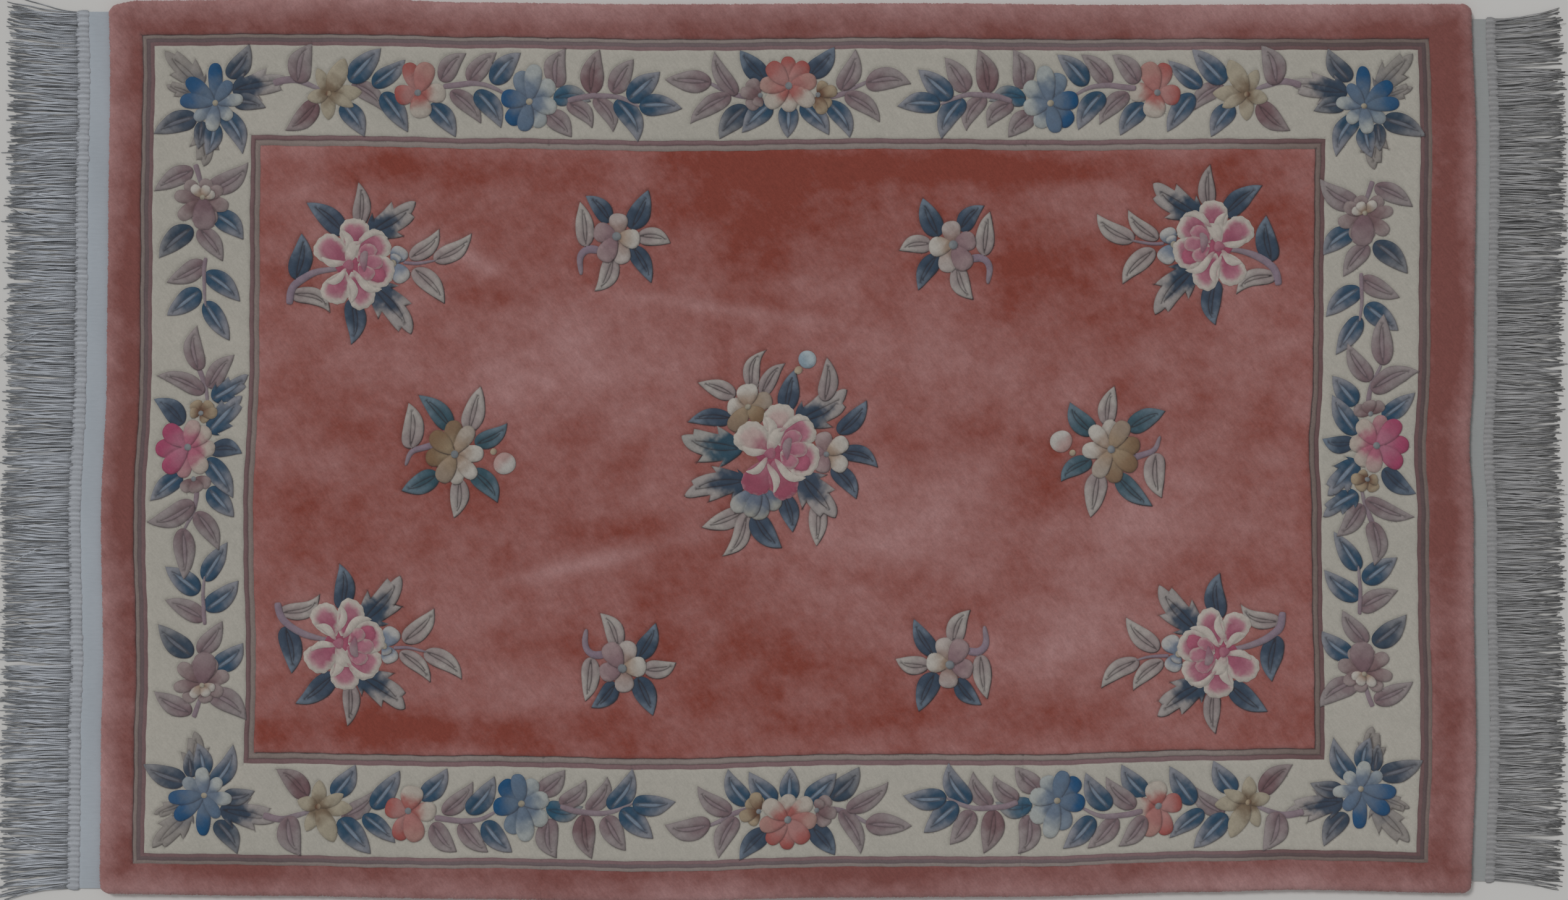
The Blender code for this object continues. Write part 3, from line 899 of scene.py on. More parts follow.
class Bench:
    """One material's node tree, with the few tools that its finish is mixed with."""

    def __init__(self, name: str) -> None:
        """Start a material with its Principled shader."""
        self.material = bpy.data.materials.new(name)
        self.material.use_nodes = True
        self.tree = self.material.node_tree
        self.shader = self.tree.nodes["Principled BSDF"]

    def add(self, kind: str, settings: dict[str, Any] | None = None,
            sockets: dict[str | int, Any] | None = None) -> bpy.types.Node:
        """Add a node.

        Args:
            kind: the node's type.
            settings: its own settings, which are set first.
            sockets: a value, or a socket to link, for each of its inputs.

        Returns:
            The new node.
        """
        node = self.tree.nodes.new(kind)
        for name, value in (settings or {}).items():
            setattr(node, name, value)
        for key, value in (sockets or {}).items():
            self.feed(node.inputs[key], value)
        return node

    def feed(self, socket: bpy.types.NodeSocket, value: Any) -> None:
        """Set a socket to a value, or link it."""
        value = value.socket if isinstance(value, Signal) else value
        if isinstance(value, bpy.types.NodeSocket):
            self.tree.links.new(value, socket)
        else:
            socket.default_value = value

    def place(self, stretch: Triple = (1, 1, 1), turn: float = 0.0) -> bpy.types.NodeSocket:
        """Return the piece's own coordinates, for a pattern stretched along axes turned by degrees."""
        spot = self.add("ShaderNodeTexCoord")
        mapping = self.add("ShaderNodeMapping", {"vector_type": "TEXTURE"}, {
            "Vector": spot.outputs["Object"], "Scale": stretch, "Rotation": (0, 0, math.radians(turn))})
        return mapping.outputs[0]

    def noise(self, where: bpy.types.NodeSocket, scale: float, detail: float = 2.0,
              rough: float = 0.5) -> Signal:
        """Return a noise of 0 to 1 about a half."""
        node = self.add("ShaderNodeTexNoise", {}, {"Vector": where, "Scale": scale, "Detail": detail,
                                                   "Roughness": rough})
        return Signal(self, node.outputs[0])

    def attribute(self, name: str) -> Signal:
        """Return one of the piece's own attributes."""
        node = self.add("ShaderNodeAttribute", {"attribute_name": name})
        return Signal(self, node.outputs["Fac"])

    def mix(self, share: Any, first: Any, second: Any, blend: str = "MIX") -> Signal:
        """Return a mix of two colours."""
        node = self.add("ShaderNodeMix", {"data_type": "RGBA", "blend_type": blend},
                        {0: share, 6: first, 7: second})
        return Signal(self, node.outputs[2])

    def grey(self, value: Signal) -> Signal:
        """Return a value as a grey colour."""
        node = self.add("ShaderNodeCombineColor", {}, {0: value, 1: value, 2: value})
        return Signal(self, node.outputs[0])

    def bump(self, height: Any, strength: float, distance: float) -> None:
        """Feed the shader's normal with a height."""
        node = self.add("ShaderNodeBump", {}, {"Height": height, "Strength": strength,
                                               "Distance": distance})
        self.feed(self.shader.inputs["Normal"], node.outputs[0])

    def finish(self, sockets: dict[str, Any]) -> bpy.types.Material:
        """Feed the shader's own sockets and return the material."""
        for name, value in sockets.items():
            self.feed(self.shader.inputs[name], value)
        return self.material


def opaque(colour: Colour, share: float = 1.0) -> tuple[float, float, float, float]:
    """Return a colour, or a share of it, with its alpha."""
    return (*(share * part for part in colour), 1.0)


@dataclass(frozen=True)
class CarvedWool:
    """The pile's finish: dyed wool with the painted sheen of a brushed lay, cut tufts and painted shade
    along the carved lines.
    """

    painted_sheen: Colour = wool(158, 128, 128)
    shadow: Colour = wool(44, 38, 40)
    sheen: float = 0.25

    def material(self) -> bpy.types.Material:
        """Return the material, which reads the dye, the lay's painted sheen and the painted shade of the
        carved lines from the piece's attributes.
        """
        bench = Bench("carved_wool")
        dye = bench.add("ShaderNodeAttribute", {"attribute_name": "dye"})
        # The dye's alpha: how much of the painted lay sheen shows.
        free = Signal(bench, dye.outputs["Alpha"])
        swept = bench.noise(bench.place((1.8, 1.0, 1.0), -8), 5.5, 5.0, 0.62)
        patch = bench.noise(bench.place((1.2, 1.0, 1.0), 20), 16.0, 5.0, 0.66)
        streak = bench.noise(bench.place((3.6, 1.0, 1.0), -52), 330.0, 2.0, 0.6)
        combed = bench.noise(bench.place((1.7, 1.0, 1.0), -50), 85.0, 4.0, 0.65)
        tuft = bench.noise(bench.place((1.0, 1.0, 4.0)), 420.0, 2.0, 0.6)
        # Painted sheen: the brushed pile is paler where it is brushed against the light, darker with the
        # lay.
        brushed = bench.attribute("lay_sheen") + 1.5 * (swept - 0.5) + 1.2 * (patch - 0.5)
        lay_sheen = (0.42 + brushed + 0.4 * (combed - 0.5)).limited()
        with_sheen = bench.mix(0.62 * lay_sheen * free, dye.outputs["Color"], opaque(self.painted_sheen))
        fibres = 0.32 * (tuft - 0.5) + 0.34 * (streak - 0.5) + 0.16 * (combed - 0.5)
        # Brightness from the painted sheen of the lay and from the fibres' own grain.
        grain = 0.95 + 0.1 * lay_sheen + (0.6 + 0.4 * free) * fibres
        grained = bench.mix(1.0, with_sheen, bench.grey(grain), "MULTIPLY")
        broken = 0.55 + 0.9 * bench.noise(bench.place(), 90.0, 2.0)
        # Painted shade along the carved lines, broken up a little, darkens the colour towards the shadow
        # colour.
        cut = (1.2 * bench.attribute("cut") * broken).limited()
        bench.bump(tuft + 0.8 * streak + 1.2 * combed, 0.45, 0.9 * MM)
        return bench.finish({
            "Base Color": bench.mix(cut, grained, opaque(self.shadow)), "Roughness": 0.92 - 0.08 * tuft,
            "Sheen Weight": self.sheen, "Sheen Roughness": 0.45, "Specular IOR Level": 0.2,
        })


@dataclass(frozen=True)
class WovenCotton:
    """The webs' finish: bleached warps packed over fine wefts, with painted shade in the gaps between
    threads.
    """

    name: str
    thread: Colour
    painted_gap_shade: float = 0.66
    warp_pitch: float = 1.7 * MM
    weft_pitch: float = 1.3 * MM

    def material(self) -> bpy.types.Material:
        """Return the material, which follows the rug's own axes."""
        bench = Bench(self.name)
        split = bench.add("ShaderNodeSeparateXYZ", {}, {0: bench.place()})
        along, across = Signal(bench, split.outputs[0]), Signal(bench, split.outputs[1])
        warps = (across * (2 * math.pi / self.warp_pitch)).sine()
        wefts = (along * (2 * math.pi / self.weft_pitch)).sine()
        weave = 0.5 + 0.3 * warps + 0.2 * warps * wefts
        cloudy = bench.noise(bench.place((2.0, 1.0, 1.0), 90), 14.0, 3.0)
        slub = bench.noise(bench.place((5.0, 1.0, 1.0)), 500.0, 2.0)
        # The weave's gaps between threads get painted shade; the cloudy and slubbed tone is the cotton's
        # own.
        share = (0.35 + 0.4 * weave + 0.5 * (cloudy - 0.5) + 0.3 * (slub - 0.5)).limited()
        bench.bump(weave + 0.5 * slub, 0.4, 0.3 * MM)
        return bench.finish({
            "Base Color": bench.mix(share, opaque(self.thread, self.painted_gap_shade), opaque(self.thread)),
            "Roughness": 0.9 - 0.1 * slub, "Sheen Weight": 0.1, "Specular IOR Level": 0.25,
        })


@dataclass(frozen=True)
class PliedCotton:
    """The fringe's finish: yarn of twisted plies, read along its own map, with painted shade on the lower
    strands and painted highlights along the plies.
    """

    name: str
    yarn: Colour
    ply_pitch: float = 2.7 * MM
    streaking: float = 2.6
    shading: float = 0.27
    ground: float = -0.25
    shadow: float = 0.3

    def material(self) -> bpy.types.Material:
        """Return the material, whose plies run round each strand."""
        bench = Bench(self.name)
        spot = bench.add("ShaderNodeUVMap", {"uv_map": "yarn"})
        split = bench.add("ShaderNodeSeparateXYZ", {}, {0: spot.outputs[0]})
        along, round_it = Signal(bench, split.outputs[0]), Signal(bench, split.outputs[1])
        plies = ((along * (1 / self.ply_pitch) + 2 * round_it) * (2 * math.pi)).sine()
        fibre = bench.noise(bench.place(), 900.0, 2.0)
        streaked = bench.noise(bench.place((14.0, 1.0, 1.0)), 330.0, 2.0, 0.6)
        # Painted shade: the lower a point of the yarn lies, the darker it is.
        height = Signal(bench, bench.add("ShaderNodeSeparateXYZ", {}, {0: bench.place()}).outputs[2])
        # The plies add painted highlights; the fibre noise and the darker streaks are uneven tone of the
        # yarn.
        share = 0.1 * plies + 0.4 * (fibre - 0.5) + self.streaking * (streaked - 0.5)
        share = (share + self.shading / MM * height + self.ground).limited()
        bench.bump(0.6 * plies + 0.8 * fibre, 0.4, 0.3 * MM)
        return bench.finish({
            "Base Color": bench.mix(share, opaque(self.yarn, self.shadow), opaque(self.yarn)),
            "Roughness": 0.88 - 0.1 * fibre, "Sheen Weight": 0.15, "Specular IOR Level": 0.25,
        })


@dataclass(frozen=True)
class PaleFloor:
    """The studio's floor: a matt pale board."""

    board: Colour = (0.80, 0.79, 0.77)

    def material(self) -> bpy.types.Material:
        """Return the material."""
        bench = Bench("pale_floor")
        cloudy = bench.noise(bench.place(), 1.5, 3.0)
        tone = bench.mix(cloudy, opaque(self.board), opaque(self.board, 0.97))
        return bench.finish({"Base Color": tone, "Roughness": 0.85, "Specular IOR Level": 0.2})


# The rug's own parts


def show(name: str, mesh: bpy.types.Mesh, finish: bpy.types.Material) -> bpy.types.Object:
    """Put a finished mesh into the scene as a piece of the rug.

    Args:
        name: the piece's name.
        mesh: its mesh, already in place.
        finish: its material.

    Returns:
        The new object.
    """
    piece = bpy.data.objects.new(name, mesh)
    bpy.context.scene.collection.objects.link(piece)
    mesh.materials.append(finish)
    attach(piece, "root")
    log.info("%s: %d points, %d faces", name, len(mesh.vertices), len(mesh.polygons))
    return piece


def meshed(name: str, work: bmesh.types.BMesh) -> bpy.types.Mesh:
    """Return a bmesh as a smooth mesh, and free the bmesh."""
    mesh = bpy.data.meshes.new(name)
    for face in work.faces:
        face.smooth = True
    work.to_mesh(mesh)
    work.free()
    return mesh


def repeated(name: str, template: bpy.types.Mesh, count: int) -> bpy.types.Mesh:
    """Return a mesh that holds a template so many times over."""
    work = bmesh.new()
    for _ in range(count):
        work.from_mesh(template)
    return meshed(name, work)


def points_of(grown: Sequence) -> list[bmesh.types.BMVert]:
    """Return the points of what an extrusion made."""
    return [part for part in grown if isinstance(part, bmesh.types.BMVert)]


def rim_of(grown: Sequence) -> list[bmesh.types.BMEdge]:
    """Return the open edges of what an extrusion made."""
    return [part for part in grown if isinstance(part, bmesh.types.BMEdge) and part.is_boundary]


def coordinates(mesh: bpy.types.Mesh) -> Points:
    """Return a mesh's points as rows."""
    flat = np.empty(len(mesh.vertices) * 3, np.float32)
    mesh.vertices.foreach_get("co", flat)
    return flat.reshape(-1, 3).astype(float)


def set_coordinates(mesh: bpy.types.Mesh, points: Points) -> None:
    """Move a mesh's points, whose last axis is x, y and z."""
    mesh.vertices.foreach_set("co", points.astype(np.float32).ravel())
    mesh.update()


@dataclass(frozen=True)
class Line:
    """A carved line of the design, with its depth as a share of the deepest, and the painted shade along it.
    """

    points: Points
    joined: Points
    depth: float
    painted_shade: float
    facing: float = 0.0
    covers: Sequence[Patch] = ()

    TO_LAMP = (-0.66, 0.75)
    LIT_SHARE = 0.24

    def darkness(self, sideways: Points) -> Points:
        """Return the painted shade along the line at places: a piece's own right and lower sides lie in
        shade.
        """
        if not self.facing:
            return np.full(len(sideways), self.painted_shade)
        outward = sideways @ np.array(self.TO_LAMP) * self.facing
        return self.painted_shade * (self.LIT_SHARE + (1 - self.LIT_SHARE) * smooth(-0.35, 0.65, outward))

    def walked(self, step: float) -> tuple[Points, Points]:
        """Return points at an even step along what shows of the line, and the sideways direction."""
        starts, ends = self.points[self.joined[:, 0]], self.points[self.joined[:, 1]]
        lengths = np.maximum(np.hypot(*(ends - starts).T), 1e-9)
        counts = np.maximum(1, np.round(lengths / step)).astype(int)
        which = np.repeat(np.arange(len(counts)), counts)
        within = np.concatenate([(np.arange(n) + 0.5) / n for n in counts])
        places = starts[which] + (ends - starts)[which] * within[:, None]
        ahead = ((ends - starts) / lengths[:, None])[which]
        hidden = np.zeros(len(places), bool)
        for cover in self.covers:
            hidden |= cover.holds(places)
        return places[~hidden], np.column_stack((-ahead[:, 1], ahead[:, 0]))[~hidden]


def loop(count: int) -> Points:
    """Return the joins of a closed line of so many points."""
    first = np.arange(count)
    return np.column_stack((first, (first + 1) % count))


@dataclass(frozen=True)
class Band:
    """One band of the two frames: the groove round it with painted shade along it, and the dye from there
    inwards with how much painted lay sheen shows on it.
    """

    border: Border
    depth: float
    painted_shade: float
    facing: int
    dye: Colour
    free: float


# Each band: its frame, its groove's depth, the painted shade along the groove, its facing, its dye, and how
# much painted lay sheen shows.
BANDS = (
    Band(OUTER_GUARD, 0.8, 0.75, -1, LIGHT_STRIPE, 0.1),
    Band(OUTER_SPLIT, 0.45, 0.3, 0, SLATE_STRIPE, 0.1),
    Band(OUTER_SHADE, 0.2, 0.1, 0, MAUVE_STRIPE, 0.1),
    Band(OUTER_GUARD_INSIDE, 0.5, 0.2, 1, CREAM, 0.06),
    Band(INNER_GUARD, 0.5, 0.3, -1, MAUVE_STRIPE, 0.1),
    Band(INNER_SPLIT, 0.7, 0.45, 0, LIGHT_STRIPE, 0.1),
    Band(INNER_GUARD_INSIDE, 0.7, 0.8, 1, ROSE, 1.0),
)


@dataclass
class CarvedPile:
    """The wool pile: one thick sheet whose top carries the carved and dyed design.

    It is worked in three widths, from left to right, that meet without a gap.
    """

    groove_depth: float = 2.0 * MM
    groove_reach: float = 1.35 * MM
    shadow_reach: float = 1.0 * MM
    rib_depth: float = 0.55
    # Painted shade along a midrib's carved lines.
    rib_painted_shade: float = 0.8
    field_bold: float = 0.9
    border_bold: float = 0.66
    # How much of the painted lay sheen shows on the design's pieces.
    design_sheen_share: float = 0.08
    crown: float = 0.7 * MM
    crown_reach: float = 5 * MM
    walk: float = 0.8 * MM
    beside_step: float = 2.3 * MM
    beside: float = 1.35 * MM
    fine_pitch: float = 4.0 * MM
    wide_pitch: float = 6.6 * MM
    near_line: float = 2.2 * MM
    rim_step: float = 1.4 * MM
    tuft_pitch: float = 3.1 * MM
    tuft_relief: float = 1.4 * MM
    tuft_stand: float = 0.35
    far_line: float = 9.0 * MM
    frame_steps: tuple[int, int] = (460, 280)
    seam_steps: int = 240
    margin: float = 8 * MM
    guard: float = 1.6 * MM
    lattice_wobble: float = 0.18
    # How much painted sheen the outer band gets at the rug's edge, and how much less further in.
    band_lay_sheen: float = 0.24
    rim_lay_sheen: float = 0.54
    rim_zone: Point = (6 * MM, 42 * MM)
    browning: Triple = (0.29, 0.35, 0.37)
    browning_zone: Point = (0.55, 0.71)
    left_browning: float = 0.55
    grain: float = 0.16 * MM
    rim: tuple[Point, ...] = ((8, 14.7), (4.4, 13.5), (1.8, 11.5), (0.3, 9), (0, 6.5), (0, 4), (1.5, 0))
    widths: tuple[tuple[str, float, float], ...] = (
        ("pile_left", -1.0, -0.325), ("pile_middle", -0.325, 0.325), ("pile_right", 0.325, 1.0))

    ROW_SHARE = 0.866

    def __post_init__(self) -> None:
        """Draw the design once for all three widths."""
        self.top = PILE.inset(TOP_INSET)
        self.corner = CORNER_RADIUS - TOP_INSET
        self.patches = [patch for group, setting in DESIGN for piece in group
                        for patch in piece.patches(setting)]
        self.lines = self.frame_lines() + self.design_lines()
        walked = [line.walked(self.walk) for line in self.lines]
        self.depths = np.concatenate([np.full(len(w[0]), line.depth)
                                      for w, line in zip(walked, self.lines)])
        # The painted shade at each walked point of every line.
        self.painted_shades = np.concatenate([line.darkness(w[1]) for w, line in zip(walked, self.lines)])
        self.tree = KDTree(len(self.depths))
        for index, (x, y) in enumerate(np.concatenate([w[0] for w in walked])):
            self.tree.insert((x, y, 0), index)
        self.tree.balance()
        self.random = np.random.default_rng(7)

    def frame_lines(self) -> list[Line]:
        """Return the grooves on both sides of the guard stripes."""
        lines = []
        wide, high = self.frame_steps
        for band in BANDS:
            border = band.border
            xs = np.linspace(border.left, border.right, wide)[:-1]
            ys = np.linspace(border.bottom, border.top, high)[:-1]
            sides = [np.column_stack((xs, np.full_like(xs, border.bottom))),
                     np.column_stack((np.full_like(ys, border.right), ys)),
                     np.column_stack((xs, np.full_like(xs, border.top)))[::-1],
                     np.column_stack((np.full_like(ys, border.left), ys))[::-1]]
            sides[2][:, 0] += xs[1] - xs[0]
            sides[3][:, 1] += ys[1] - ys[0]
            points = wandering(np.concatenate(sides))
            lines.append(Line(points, loop(len(points)), band.depth, band.painted_shade, band.facing))
        return lines

    def design_lines(self) -> list[Line]:
        """Return the outlines and ribs of the design wherever no later piece covers them."""
        lines = []
        for index, patch in enumerate(self.patches):
            above = [other for other in self.patches[index + 1:]
                     if np.all(other.low < patch.high) and np.all(other.high > patch.low)]
            in_field = INNER_GUARD.holds(patch.base[None])[0]
            bold = patch.form.value[2] * (self.field_bold if in_field else self.border_bold)
            x, y = patch.edge.T
            turning = float(np.sign(np.sum(x * np.roll(y, -1) - np.roll(x, -1) * y)))
            # Each drawn line: points, joins, depth, painted shade and facing.
            drawn = [(patch.edge, loop(len(patch.edge)), 0.5 + 0.5 * bold, bold, turning)]
            drawn += [(rib, loop(len(rib))[:-1], self.rib_depth, self.rib_painted_shade * bold, 0.0)
                      for rib in patch.ribs()]
            for points, joined, *weights in drawn:
                covered = np.zeros(len(points), bool)
                for other in above:
                    covered |= other.holds(points)
                seen = joined[~(covered[joined[:, 0]] & covered[joined[:, 1]])]
                if len(seen):
                    lines.append(Line(points, seen, *weights, above))
        return lines

    def from_lines(self, points: Points) -> tuple[Points, Points, Points]:
        """Return each point's distance to the nearest carved line, and its depth and painted shade there."""
        found = [self.tree.find((x, y, 0)) for x, y in points]
        nearest = [f[1] for f in found]
        return np.array([f[2] for f in found]), self.depths[nearest], self.painted_shades[nearest]

    def loose_points(self, width: Border) -> Points:
        """Return the points that fill one width between its lines."""
        sided = []
        for line in self.lines:
            places, sideways = line.walked(self.beside_step)
            sided += [places + sideways * self.beside, places - sideways * self.beside]
        beside = np.concatenate(sided)
        beside = beside[width.holds(beside)]
        beside = beside[self.from_lines(beside)[0] > 0.8 * self.beside]
        fine, wide = self.lattice(width, self.fine_pitch), self.lattice(width, self.wide_pitch)
        fine_far, wide_far = self.from_lines(fine)[0], self.from_lines(wide)[0]
        return np.concatenate((beside, fine[(fine_far > self.near_line) & (fine_far < self.far_line)],
                               wide[wide_far >= self.far_line]))

    def lattice(self, width: Border, pitch: float) -> Points:
        """Return a lattice of staggered points over one width."""
        x, y = np.meshgrid(np.arange(width.left, width.right, pitch),
                           np.arange(width.bottom, width.top, pitch * self.ROW_SHARE))
        x = x + (np.arange(len(x)) % 2 * pitch / 2)[:, None]
        wobble = self.random.uniform(-self.lattice_wobble, self.lattice_wobble, (2, *x.shape)) * pitch
        points = np.column_stack(((x + wobble[0]).ravel(), (y + wobble[1]).ravel()))
        return points[width.holds(points)]

    def rim_line(self) -> Points:
        """Return the closed line where the top starts to round over."""
        radius = self.corner
        points: list[Point] = []
        corners = ((self.top.right - radius, self.top.bottom + radius, -90),
                   (self.top.right - radius, self.top.top - radius, 0),
                   (self.top.left + radius, self.top.top - radius, 90),
                   (self.top.left + radius, self.top.bottom + radius, 180))
        for (x, y, start), (nx, ny, _) in zip(corners, corners[1:] + corners[:1]):
            arc = [(x + radius * math.cos(math.radians(start + turn)),
                    y + radius * math.sin(math.radians(start + turn))) for turn in range(0, 91, 15)]
            after = math.radians(start + 90)
            ahead = (nx + radius * math.cos(after), ny + radius * math.sin(after))
            count = int(math.dist(arc[-1], ahead) / self.rim_step)
            straight = [(arc[-1][0] + (ahead[0] - arc[-1][0]) * i / count,
                         arc[-1][1] + (ahead[1] - arc[-1][1]) * i / count) for i in range(1, count)]
            points += arc + straight
        return np.array(points)

    def triangulated(self, left: float, right: float) -> tuple[Points, Points]:
        """Return the points and triangles of one width's top, before the drift.

        Args:
            left: where the width starts.
            right: where it ends.

        Returns:
            Points as rows of x and y, and triangles as rows of three point numbers.
        """
        width = Border(max(left, self.top.left), min(right, self.top.right), *self.top.sides()[2:])
        wide = Border(left - self.margin, right + self.margin, -1, 1)
        points, joins, count = [], [], 0
        heights = np.linspace(self.top.bottom, self.top.top, self.seam_steps)
        seams = [Line(np.column_stack((np.full_like(heights, x), heights)), loop(self.seam_steps)[:-1], 0, 0)
                 for x in (left, right) if abs(x) < PILE.right]
        rim = self.rim_line()
        for line in [*self.lines, *seams, Line(rim, loop(len(rim)), 0, 0)]:
            kept = line.joined[wide.holds(line.points)[line.joined].all(axis=1)]
            used, numbers = np.unique(kept, return_inverse=True)
            points.append(line.points[used])
            joins.append(numbers.reshape(-1, 2) + count)
            count += len(used)
        points.append(self.loose_points(width.inset(self.guard)))
        vectors = [Vector(p) for p in np.concatenate(points).tolist()]
        made = geometry.delaunay_2d_cdt(vectors, np.concatenate(joins).tolist(), [], 0, 1e-6, False)
        spots = np.array([tuple(v) for v in made[0]])
        triangles = np.array(made[2])
        middle = spots[triangles].mean(axis=1)
        core = self.top.inset(self.corner)
        held = np.column_stack((np.clip(middle[:, 0], core.left, core.right),
                                np.clip(middle[:, 1], core.bottom, core.top)))
        inside = np.hypot(*(middle - held).T) < self.corner
        inside &= (middle[:, 0] > left) & (middle[:, 0] < right)
        used, numbers = np.unique(triangles[inside], return_inverse=True)
        return spots[used], numbers.reshape(-1, 3)

    def owners(self, points: Points, triangles: Points) -> Points:
        """Return the number of the piece of the design on top of each triangle, or -1."""
        middle = points[triangles].mean(axis=1)
        owner = np.full(len(triangles), -1)
        for index, patch in enumerate(self.patches):
            owner[patch.holds(middle)] = index
        return owner

    def dyed(self, points: Points, triangles: Points, owner: Points) -> Points:
        """Return a colour for each corner of each triangle; its alpha says how much the painted lay sheen
        shows.
        """
        colours = np.empty((len(triangles), 3, 4))
        colours[:] = (*BAND_ROSE, 1.0)
        middle = wandering(points[triangles].mean(axis=1), -1.0)
        for band in BANDS:
            colours[band.border.holds(middle)] = (*band.dye, band.free)
        stripes = OUTER_GUARD.holds(middle) & ~OUTER_GUARD_INSIDE.holds(middle)
        stripes |= INNER_GUARD.holds(middle) & ~INNER_GUARD_INSIDE.holds(middle)
        along = middle[stripes, 0]
        browned = smooth(*self.browning_zone, along)
        browned += self.left_browning * smooth(*self.browning_zone, -along)
        colours[stripes, :, :3] *= 1 - browned[:, None, None] * np.array(self.browning)
        for index in np.unique(owner[owner >= 0]):
            own = owner == index
            corners_at = points[triangles[own]].reshape(-1, 2)
            colours[own, :, :3] = self.patches[index].colours(corners_at).reshape(-1, 3, 3)
            colours[own, :, 3] = self.design_sheen_share
        return colours

    def lay_sheen(self, points: Points) -> Points:
        """Return the painted sheen at points: how far the pile is brushed against the light, paler near the
        rug's edge in the outer band.
        """
        total = sum(stroke.at_points(points) for stroke in STROKES)
        x, y = points.T
        to_rim = np.minimum.reduce((x - PILE.left, PILE.right - x, y - PILE.bottom, PILE.top - y))
        band = ~OUTER_GUARD.holds(points)
        return total + band * (self.band_lay_sheen - self.rim_lay_sheen * smooth(*self.rim_zone, to_rim))

    def outward(self, x: float, y: float) -> Vector:
        """Return which way the rim faces at a point of it, or no way elsewhere."""
        core = self.top.inset(self.corner)
        away = Vector((x - min(max(x, core.left), core.right), y - min(max(y, core.bottom), core.top), 0))
        return away.normalized() if away.length > 0.95 * self.corner else Vector((0, 0, 0))

    def build(self, finish: bpy.types.Material) -> None:
        """Build and dress the three widths."""
        for width in self.widths:
            self.build_width(*width, finish)

    def knotted(self, points: Points) -> Points:
        """Return the height of the single knots at points."""
        x, y = points.T
        return self.grain * np.sin(x / 0.00071) * np.sin(y / 0.00083 + 700 * x)

    def build_width(self, name: str, left: float, right: float, finish: bpy.types.Material) -> None:
        """Build one width as a closed sheet: its carved top, its rounded rim and its flat back."""
        points, triangles = self.triangulated(left, right)
        owner = self.owners(points, triangles)
        colours = self.dyed(points, triangles, owner)
        far, depth, painted_shade = self.from_lines(points)
        held = np.zeros(len(points), bool)
        held[triangles[owner >= 0].ravel()] = True
        height = PILE_HEIGHT - self.groove_depth * depth * np.exp(-((far / self.groove_reach) ** 2))
        height += held * self.crown * (1 - np.exp(-((far / self.crown_reach) ** 2)))
        height += self.knotted(points)
        work = bmesh.new()
        spots = [work.verts.new((x, y, z)) for (x, y), z in zip(points.tolist(), height.tolist())]
        for a, b, c in triangles.tolist():
            work.faces.new((spots[a], spots[b], spots[c]))
        self.add_rim(work)
        mesh = meshed(name, work)
        self.paint(mesh, colours, far, painted_shade, len(triangles))
        placed = coordinates(mesh)
        placed[:, :2] = settled(placed[:, :2])
        set_coordinates(mesh, placed)
        piece = show(name, mesh, finish)
        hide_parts("pile")

    def add_rim(self, work: bmesh.types.BMesh) -> None:
        """Round the top's edge over down to the floor, and close the back."""
        edges = [edge for edge in work.edges if edge.is_boundary]
        for edge in edges:
            middle = (edge.verts[0].co + edge.verts[1].co) / 2
            edge.smooth = self.outward(middle.x, middle.y).length > 0
        reach, above, ring = TOP_INSET, PILE_HEIGHT / MM, []
        for inset, height in self.rim:
            step, share = reach - inset * MM, height / above
            reach, above = inset * MM, height
            grown = bmesh.ops.extrude_edge_only(work, edges=edges)["geom"]
            for vert in points_of(grown):
                out = self.outward(vert.co.x, vert.co.y)
                vert.co += out * step
                vert.co.z = height * MM if out.length else vert.co.z * share
                ring.append(vert)
            edges = rim_of(grown)
        for vert in ring:
            self.tuft(vert)
        for edge in edges:
            edge.smooth = False
        bmesh.ops.edgeloop_fill(work, edges=edges)
        bmesh.ops.recalc_face_normals(work, faces=work.faces)

    def tuft(self, vert: bmesh.types.BMVert) -> None:
        """Draw a point of the rim in between two tufts, and let each tuft stand its own way."""
        out = self.outward(vert.co.x, vert.co.y)
        along = (vert.co.x * abs(out.y) + vert.co.y * abs(out.x)) / self.tuft_pitch
        place = along + 0.3 * vert.co.z / self.tuft_pitch * math.sin(2.4 * math.floor(along) + 1)
        valley = 1 - abs(math.sin(math.pi * place)) ** 0.6
        stand = math.sin(12.9 * math.floor(place)) * math.cos(7.3 * math.floor(place) + 40 * vert.co.z)
        steep = float(smooth(PILE_HEIGHT, 0.75 * PILE_HEIGHT, vert.co.z)) + 0.25
        vert.co -= out * self.tuft_relief * (valley - self.tuft_stand * stand) * min(steep, 1.0)

    def paint(self, mesh: bpy.types.Mesh, colours: Points, far: Points, painted_shade: Points,
              top_faces: int) -> None:
        """Write the dye of each corner, and the painted lay sheen and the painted shade of the carved lines
        at each point.
        """
        every = np.empty((len(mesh.loops), 4), np.float32)
        every[:] = (*BAND_ROSE, 1.0)
        every[: top_faces * 3] = colours.reshape(-1, 4)
        dye = mesh.attributes.new("dye", "FLOAT_COLOR", "CORNER")
        dye.data.foreach_set("color", every.ravel())
        flat = coordinates(mesh)[:, :2]
        mesh.attributes.new("lay_sheen", "FLOAT", "POINT").data.foreach_set(
            "value", self.lay_sheen(flat).astype(np.float32))
        # Painted shade along the carved lines, fading within about a millimetre to each side.
        cut = np.zeros(len(flat), np.float32)
        cut[: len(far)] = painted_shade * np.exp(-((far / self.shadow_reach) ** 2))
        mesh.attributes.new("cut", "FLOAT", "POINT").data.foreach_set("value", cut)


